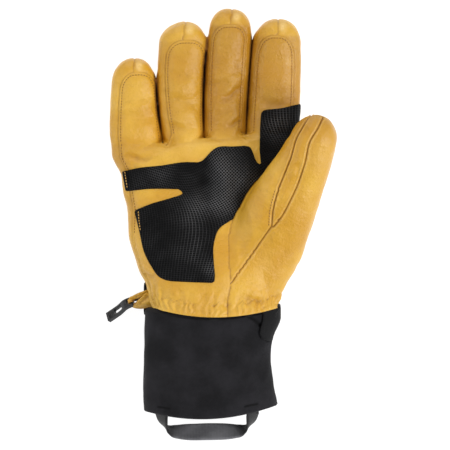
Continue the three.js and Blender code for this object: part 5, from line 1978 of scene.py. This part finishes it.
@dataclass
class WristStrap:
    """The black strap round the back of the wrist, whose end folds over the cuff on the thumb side."""

    bench: Bench
    cuff: ClothCuff
    width: float = 22.0
    thickness: float = 1.8
    clearance: float = 0.4
    left_y: float = 1.0
    right_y: float = -13.5
    start: float = 194.0
    end: float = 404.0
    point: float = 0.1
    tuck_in: float = 5.2
    end_drop: float = 3.0

    def build(self) -> None:
        """Lofts the strap and shifts its free end in across the cuff and towards the hem."""
        half_x = self.cuff.width * 0.99 / 2 + self.clearance + self.thickness / 2
        half_z = self.cuff.depth * 0.96 / 2 + self.clearance + self.thickness / 2
        share = np.linspace(0.0, 1.0, 90)
        angle = np.radians(self.start + (self.end - self.start) * share)
        u, v = superellipse(angle, self.cuff.squareness)
        y = self.left_y + (self.right_y - self.left_y) * smoothstep(share, 0.0, 0.8)
        z = half_z + self.clearance + self.thickness / 2 + v * half_z
        centres = np.stack([u * half_x + 0.01 * self.cuff.width, y, z], -1)
        across = np.tile([0.0, 1.0, 0.0], (len(share), 1))
        widths = self.width * (1 - 0.72 * smoothstep(share, 1 - self.point, 1.0))
        centres[:, 1] += (self.width - widths) / 2
        surface, carried = Ribbon(centres, across, widths, self.thickness).build()
        x, y = surface.points[:, 0], surface.points[:, 1]
        leaning = smoothstep(-y, 12.0, 23.0) * smoothstep(x, 15.0, 40.0)
        surface.points[:, 0] = x - self.tuck_in * leaning
        surface.points[:, 1] = y - self.end_drop * leaning
        surface.points[:, 2] = np.maximum(surface.points[:, 2], 0.05)
        finishes, old = (Finish.STRAP,), ("wrist_strap",)
        piece = self.bench.add("wrist_strap_folded", surface, finishes, carried, stands_for=old)


# Side is a share of the span from its middle, drop one of the whole drop, and lean is in degrees off upright
PULL_COLUMNS = ("step", "side", "drop", "lean")
PULL_ROWS = (
    (0, -0.5, 0.0, -32),
    (1, -0.49, 0.32, -24),
    (2, -0.462, 0.64, -6),
    (3, -0.41, 0.88, 22),
    (4, -0.33, 0.98, 42),
    (5, -0.17, 1.0, 50),
    (6, 0, 0.98, 50),
    (7, 0.17, 0.97, 50),
    (8, 0.33, 0.95, 42),
    (9, 0.41, 0.84, 22),
    (10, 0.462, 0.6, -6),
    (11, 0.49, 0.3, -24),
    (12, 0.5, 0.0, -32),
)


@dataclass
class PullLoop:
    """The webbing loop sewn inside the cuff's hem."""

    bench: Bench
    cuff: ClothCuff
    width: float = 15.0
    thickness: float = 1.8
    span: float = 62.0
    drop: float = 12.2
    anchor: float = 12.0
    shift: float = -2.0
    sag: float = 4.0

    def inner_top(self, x: float) -> float:
        """How high the cuff's inner wall is at its hem."""
        row = CUFF_ROWS[-1]
        half = (row[2] - row[1]) / 2 * self.cuff.width - self.cuff.wall
        u = (x - (row[1] + row[2]) / 2 * self.cuff.width) / half
        half_depth = (row[4] - row[3]) / 2 * self.cuff.depth - self.cuff.wall
        middle = (row[4] + row[3]) / 2 * self.cuff.depth
        power = self.cuff.squareness
        return middle + half_depth * (1 - abs(u) ** power) ** (1 / power)

    def build(self) -> None:
        """Lofts the webbing along its loop."""
        form = self.cuff.form
        hem_y = form.hem_side - self.cuff.clearance - self.cuff.length - self.cuff.hem_drop + 2.0
        lean0 = math.radians(PULL_ROWS[0][3])
        z = self.inner_top(self.span / 2 - self.shift) - math.cos(lean0) * self.width / 2 - 0.06
        at = np.linspace(0, 12, 121)
        row = table(PULL_COLUMNS, PULL_ROWS, at)
        lean = np.radians(row["lean"])
        outward = np.stack([row["side"] * 2.4, -(row["drop"] ** 3), np.zeros_like(at)], -1)
        outward /= np.maximum(np.linalg.norm(outward, axis=1, keepdims=True), 1e-9)
        down = row["drop"]
        x = self.shift + row["side"] * self.span
        centres = np.stack([x, hem_y - down * self.drop, z - self.sag * down], -1)
        across = outward * np.sin(lean)[:, None]
        across[:, 2] += np.cos(lean)
        up = np.linspace(self.anchor, 0, 8)[:-1]
        first = centres[0] + np.stack([0 * up, up, 0 * up], -1)
        last = centres[-1] + np.stack([0 * up, up[::-1], 0 * up], -1)
        centres = np.vstack([first, centres, last])
        across = np.vstack([np.tile(across[0], (7, 1)), across, np.tile(across[-1], (7, 1))])
        widths = np.full(len(centres), self.width)
        surface, carried = Ribbon(centres, across, widths, self.thickness, 14).build()
        out = np.abs(surface.points[:, 0] - self.shift) / self.span
        # Painted shade towards the loop's two ends, where it curves away
        carried["crease"] = 0.85 * smoothstep(out, 0.3, 0.43)
        finishes, old = (Finish.WEBBING,), ("pull_loop",)
        piece = self.bench.add("pull_loop_webbing", surface, finishes, carried, stands_for=old)


def turned(turn: float, dip: float, roll: float) -> Array:
    """The rotation that turns about +Z, then dips about Y, then rolls about X, in degrees."""
    a, b, c = (math.radians(d) for d in (turn, dip, roll))
    about_z = np.array([[math.cos(a), -math.sin(a), 0], [math.sin(a), math.cos(a), 0], [0, 0, 1]])
    about_y = np.array([[math.cos(b), 0, math.sin(b)], [0, 1, 0], [-math.sin(b), 0, math.cos(b)]])
    about_x = np.array([[1, 0, 0], [0, math.cos(c), -math.sin(c)], [0, math.sin(c), math.cos(c)]])
    return about_z @ about_y @ about_x


def brick(low: Sequence[float], high: Sequence[float]) -> Surface:
    """A block between two corners."""
    (ax, ay, az), (bx, by, bz) = low, high
    ring = [(ax, ay), (bx, ay), (bx, by), (ax, by)]
    return Surface.lofted(np.array([[(x, y, z) for x, y in ring] for z in (az, bz)]))


@dataclass
class PlasticClip:
    """The moulded clip: an eye with a bar for its leather loop, a slot, and a ribbed tail."""

    bench: Bench
    length: float = 22.6
    width: float = 6.8
    thickness: float = 2.8
    rail: float = 1.55
    bar: float = 1.8
    eye: float = 2.4
    plate: float = 4.7
    slot: float = 7.2
    hump: float = 1.2
    hump_at: float = 5.4
    hump_width: float = 4.2
    nose_dip: float = 0.6
    place: tuple[float, float, float] = (-52.9, -1.0, 13.4)
    turn: float = 214.0
    dip: float = 24.0
    roll: float = 40.0
    voxel: float = 0.2

    def axes(self) -> Array:
        """The clip's length, its width and its face, as columns."""
        return turned(self.turn, self.dip, self.roll)

    def build(self) -> None:
        """Melts bars and rails into one moulding and turns it into place."""
        half, thick = self.width / 2, self.thickness / 2
        inner = half - self.rail
        start, end = -self.bar / 2, self.length - self.bar / 2
        eye_end = self.bar / 2 + self.eye
        slot_start = eye_end + self.plate
        slot_end = slot_start + self.slot
        parts = [
            brick((start, inner, -thick), (end - 0.8, half, thick)),
            brick((start, -half, -thick), (end - 0.8, -inner, thick)),
            brick((start, -half, -thick * 0.8), (self.bar / 2, half, thick * 0.8)),
            brick((eye_end, -half, -thick), (slot_start, half, thick)),
            brick((slot_end, -half, -thick), (end, half, thick)),
            brick((slot_end - 0.2, -half * 0.94, -thick * 1.12), (slot_end + 0.9, half * 0.94, thick * 1.18)),
        ]
        for k in range(3):
            x = slot_end + 1.9 + k * 1.15
            parts.append(brick((x, -half * 0.74, -thick), (x + 0.55, half * 0.74, thick * 1.5)))
        body = Surface.joined(parts).remeshed(self.voxel)
        body.smooth(4)
        x = body.points[:, 0]
        hump = self.hump * bell(x - self.hump_at, self.hump_width)
        body.points[:, 2] += hump - self.nose_dip * bell(x - start, 2.0)
        body.points = body.points @ self.axes().T + np.array(self.place)
        self.bench.add("moulded_clip", body, (Finish.PLASTIC,), stands_for=("glove_clip",))


# The leather loop's strands by their upper and lower edges: a place in the photograph and a height
UPPER_STRAND = (
    ((149, 289.3, 24.5), (149.5, 295, 20)),
    ((142, 291.8, 22.5), (143.5, 298, 17.5)),
    ((135.5, 294.6, 19), (138, 300.8, 14.5)),
    ((130.3, 296.8, 16.5), (133.5, 301, 13.5)),
)
LOWER_STRAND = (
    ((149.5, 290.5, 23.5), (153.5, 308, 20)),
    ((144.5, 296.2, 22), (146.5, 307.6, 17.5)),
    ((140.5, 300.5, 19.5), (140.5, 309, 14.5)),
    ((136, 303.6, 16.5), (134.8, 308, 13)),
    ((132.5, 304.2, 14), (131.3, 306, 12.2)),
)


@dataclass
class ClipLoop:
    """The leather strip from the side seam round the clip's bar and back."""

    bench: Bench
    clip: PlasticClip
    neck: float = 3.2
    thickness: float = 1.3
    clearance: float = 0.3
    ripple: float = 0.55

    @staticmethod
    def edge(rows: Sequence[Sequence[tuple]], side: int) -> Array:
        """One edge of a strand as a smooth line."""
        places = [(*photo(row[side][0], row[side][1]), row[side][2]) for row in rows]
        at = np.arange(len(places))
        fine = np.linspace(0, at[-1], 22)
        return np.stack([curve_through(at, [p[k] for p in places], fine) for k in range(3)], -1)

    def strand(self, rows: Sequence[Sequence[tuple]]) -> tuple[Array, Array, Array]:
        """A strand's centres, widths and the way that its width points."""
        upper, lower = self.edge(rows, 0), self.edge(rows, 1)
        widths = np.linalg.norm(upper - lower, axis=1)
        return (upper + lower) / 2, widths, (upper - lower) / widths[:, None]

    def build(self) -> None:
        """Lofts the strip: out along the upper strand, round the bar, and back along the lower one."""
        axes = self.clip.axes()
        space = self.clearance + self.thickness / 2 + 0.1
        u, v = superellipse(np.radians(np.linspace(100, -100, 21)), 3.0)
        round_bar = (
            np.array(self.clip.place)
            + (u * (self.clip.bar / 2 + space))[:, None] * axes[:, 0]
            + (v * (self.clip.thickness / 2 + space))[:, None] * axes[:, 2]
        )
        upper, upper_width, upper_across = self.strand(UPPER_STRAND)
        lower, lower_width, lower_across = self.strand(LOWER_STRAND)
        centres = np.vstack([upper, round_bar, lower[::-1]])
        widths = np.concatenate([upper_width, np.full(len(round_bar), self.neck), lower_width[::-1]])
        across = np.vstack([upper_across, np.tile(-axes[:, 1], (len(round_bar), 1)), lower_across[::-1]])
        for _ in range(4):
            centres[1:-1] = (centres[:-2] + 2 * centres[1:-1] + centres[2:]) / 4
            widths[1:-1] = (widths[:-2] + 2 * widths[1:-1] + widths[2:]) / 4
            across[1:-1] = (across[:-2] + 2 * across[1:-1] + across[2:]) / 4
        surface, carried = Ribbon(centres, across, widths, self.thickness, 18, 0.2).build()
        reach = np.interp(carried["thread_v"], np.linspace(0, carried["thread_v"].max(), len(widths)), widths)
        place = 2 * carried["thread_u"] / np.maximum(reach, 0.1)
        wave = np.cos(place * 5.2 + 0.6)
        surface.points[:, 2] += self.ripple * wave * smoothstep(reach, 3.5, 10.0)
        # Darker along the strip's edges, painted shade in the ripples' troughs and painted highlight on their
        # crests
        carried["crease"] = 0.6 * smoothstep(np.abs(place), 0.8, 1.0) + 0.45 * smoothstep(-wave, 0.2, 1.0)
        carried["crease"] -= 0.4 * smoothstep(wave, 0.5, 1.0)
        length = carried["thread_v"].max()
        outward = 1 - smoothstep(carried["thread_v"], 0.3 * length, 0.4 * length)
        underside = 1 - smoothstep(place, -0.35, 0.05)
        # Painted shadow on the underside of the outward strand
        carried["crease"] = np.maximum(carried["crease"], 1.9 * outward * underside)
        self.bench.add("clip_loop_strip", surface, (Finish.LEATHER,), carried, stands_for=("clip_loop",))


@dataclass
class Studio:
    """A pale floor, soft light from above, and a camera that looks straight down as the photograph does."""

    bench: Bench
    floor_side: float = 6.0
    key_power: float = 26.0
    key_size: float = 1.0
    key_place: tuple = (1.2, -0.5, 1.3)
    back_place: tuple = (-0.3, 1.5, 0.9)
    fill_place: tuple = (-1.3, -0.2, 0.9)
    back_share: float = 0.42
    fill_share: float = 0.3
    sky: float = 0.3

    def light(self, name: str, place: tuple, size: float, power: float) -> None:
        """A soft square light that faces the glove."""
        data = bpy.data.lights.new(name, "AREA")
        data.size = size
        data.energy = power
        lamp = linked(name, data)
        lamp.location = place
        lamp.rotation_euler = (-Vector(place)).to_track_quat("-Z", "Y").to_euler()

    def build(self) -> None:
        """Sets the floor, the lights and the camera."""
        half = self.floor_side / 2
        mesh = bpy.data.meshes.new("floor")
        corners = [(-half, -half, 0), (half, -half, 0), (half, half, 0), (-half, half, 0)]
        mesh.from_pydata(corners, [], [(0, 1, 2, 3)])
        mesh.materials.append(Finish.PAPER.material())
        linked("floor", mesh)
        self.light("key", self.key_place, self.key_size, self.key_power)
        self.light("back", self.back_place, self.key_size, self.key_power * self.back_share)
        self.light("fill", self.fill_place, self.key_size, self.key_power * self.fill_share)
        world = bpy.data.worlds.new("studio")
        world.use_nodes = True
        back = world.node_tree.nodes["Background"]
        back.inputs["Color"].default_value = (1.0, 1.0, 1.0, 1.0)
        back.inputs["Strength"].default_value = self.sky
        bpy.context.scene.world = world
        bpy.context.scene.view_settings.view_transform = "Standard"
        self.camera()

    def camera(self) -> None:
        """Looks straight down at the middle of the photograph's frame."""
        middle = photo(Framing.side / 2, Framing.side / 2)
        place = self.bench.placed(np.array([middle[0], middle[1], 0.0]))
        data = bpy.data.cameras.new("camera")
        data.sensor_width = 36.0
        wide = Framing.side * Framing.pixel / 1000.0
        data.lens = data.sensor_width * Framing.distance / wide
        data.clip_end = 50.0
        camera = linked("camera", data)
        camera.location = (place[0], place[1], Framing.distance)
        bpy.context.scene.camera = camera


def main() -> None:
    """Dresses the frame, piece by piece."""
    logging.basicConfig(level=logging.INFO, format="%(message)s")
    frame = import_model()
    bench = Bench(frame)
    form = HandForm()
    pattern = Pattern(form)
    leather = SewnLeather(bench, form, pattern)
    leather.build()
    patch = GripPatch(bench, leather)
    patch.build()
    Stitching(bench, leather, patch).build()
    cuff = ClothCuff(bench, form)
    cuff.build()
    WristStrap(bench, cuff).build()
    PullLoop(bench, cuff).build()
    clip = PlasticClip(bench)
    clip.build()
    ClipLoop(bench, clip).build()
    Studio(bench).build()


if __name__ == "__main__":
    main()
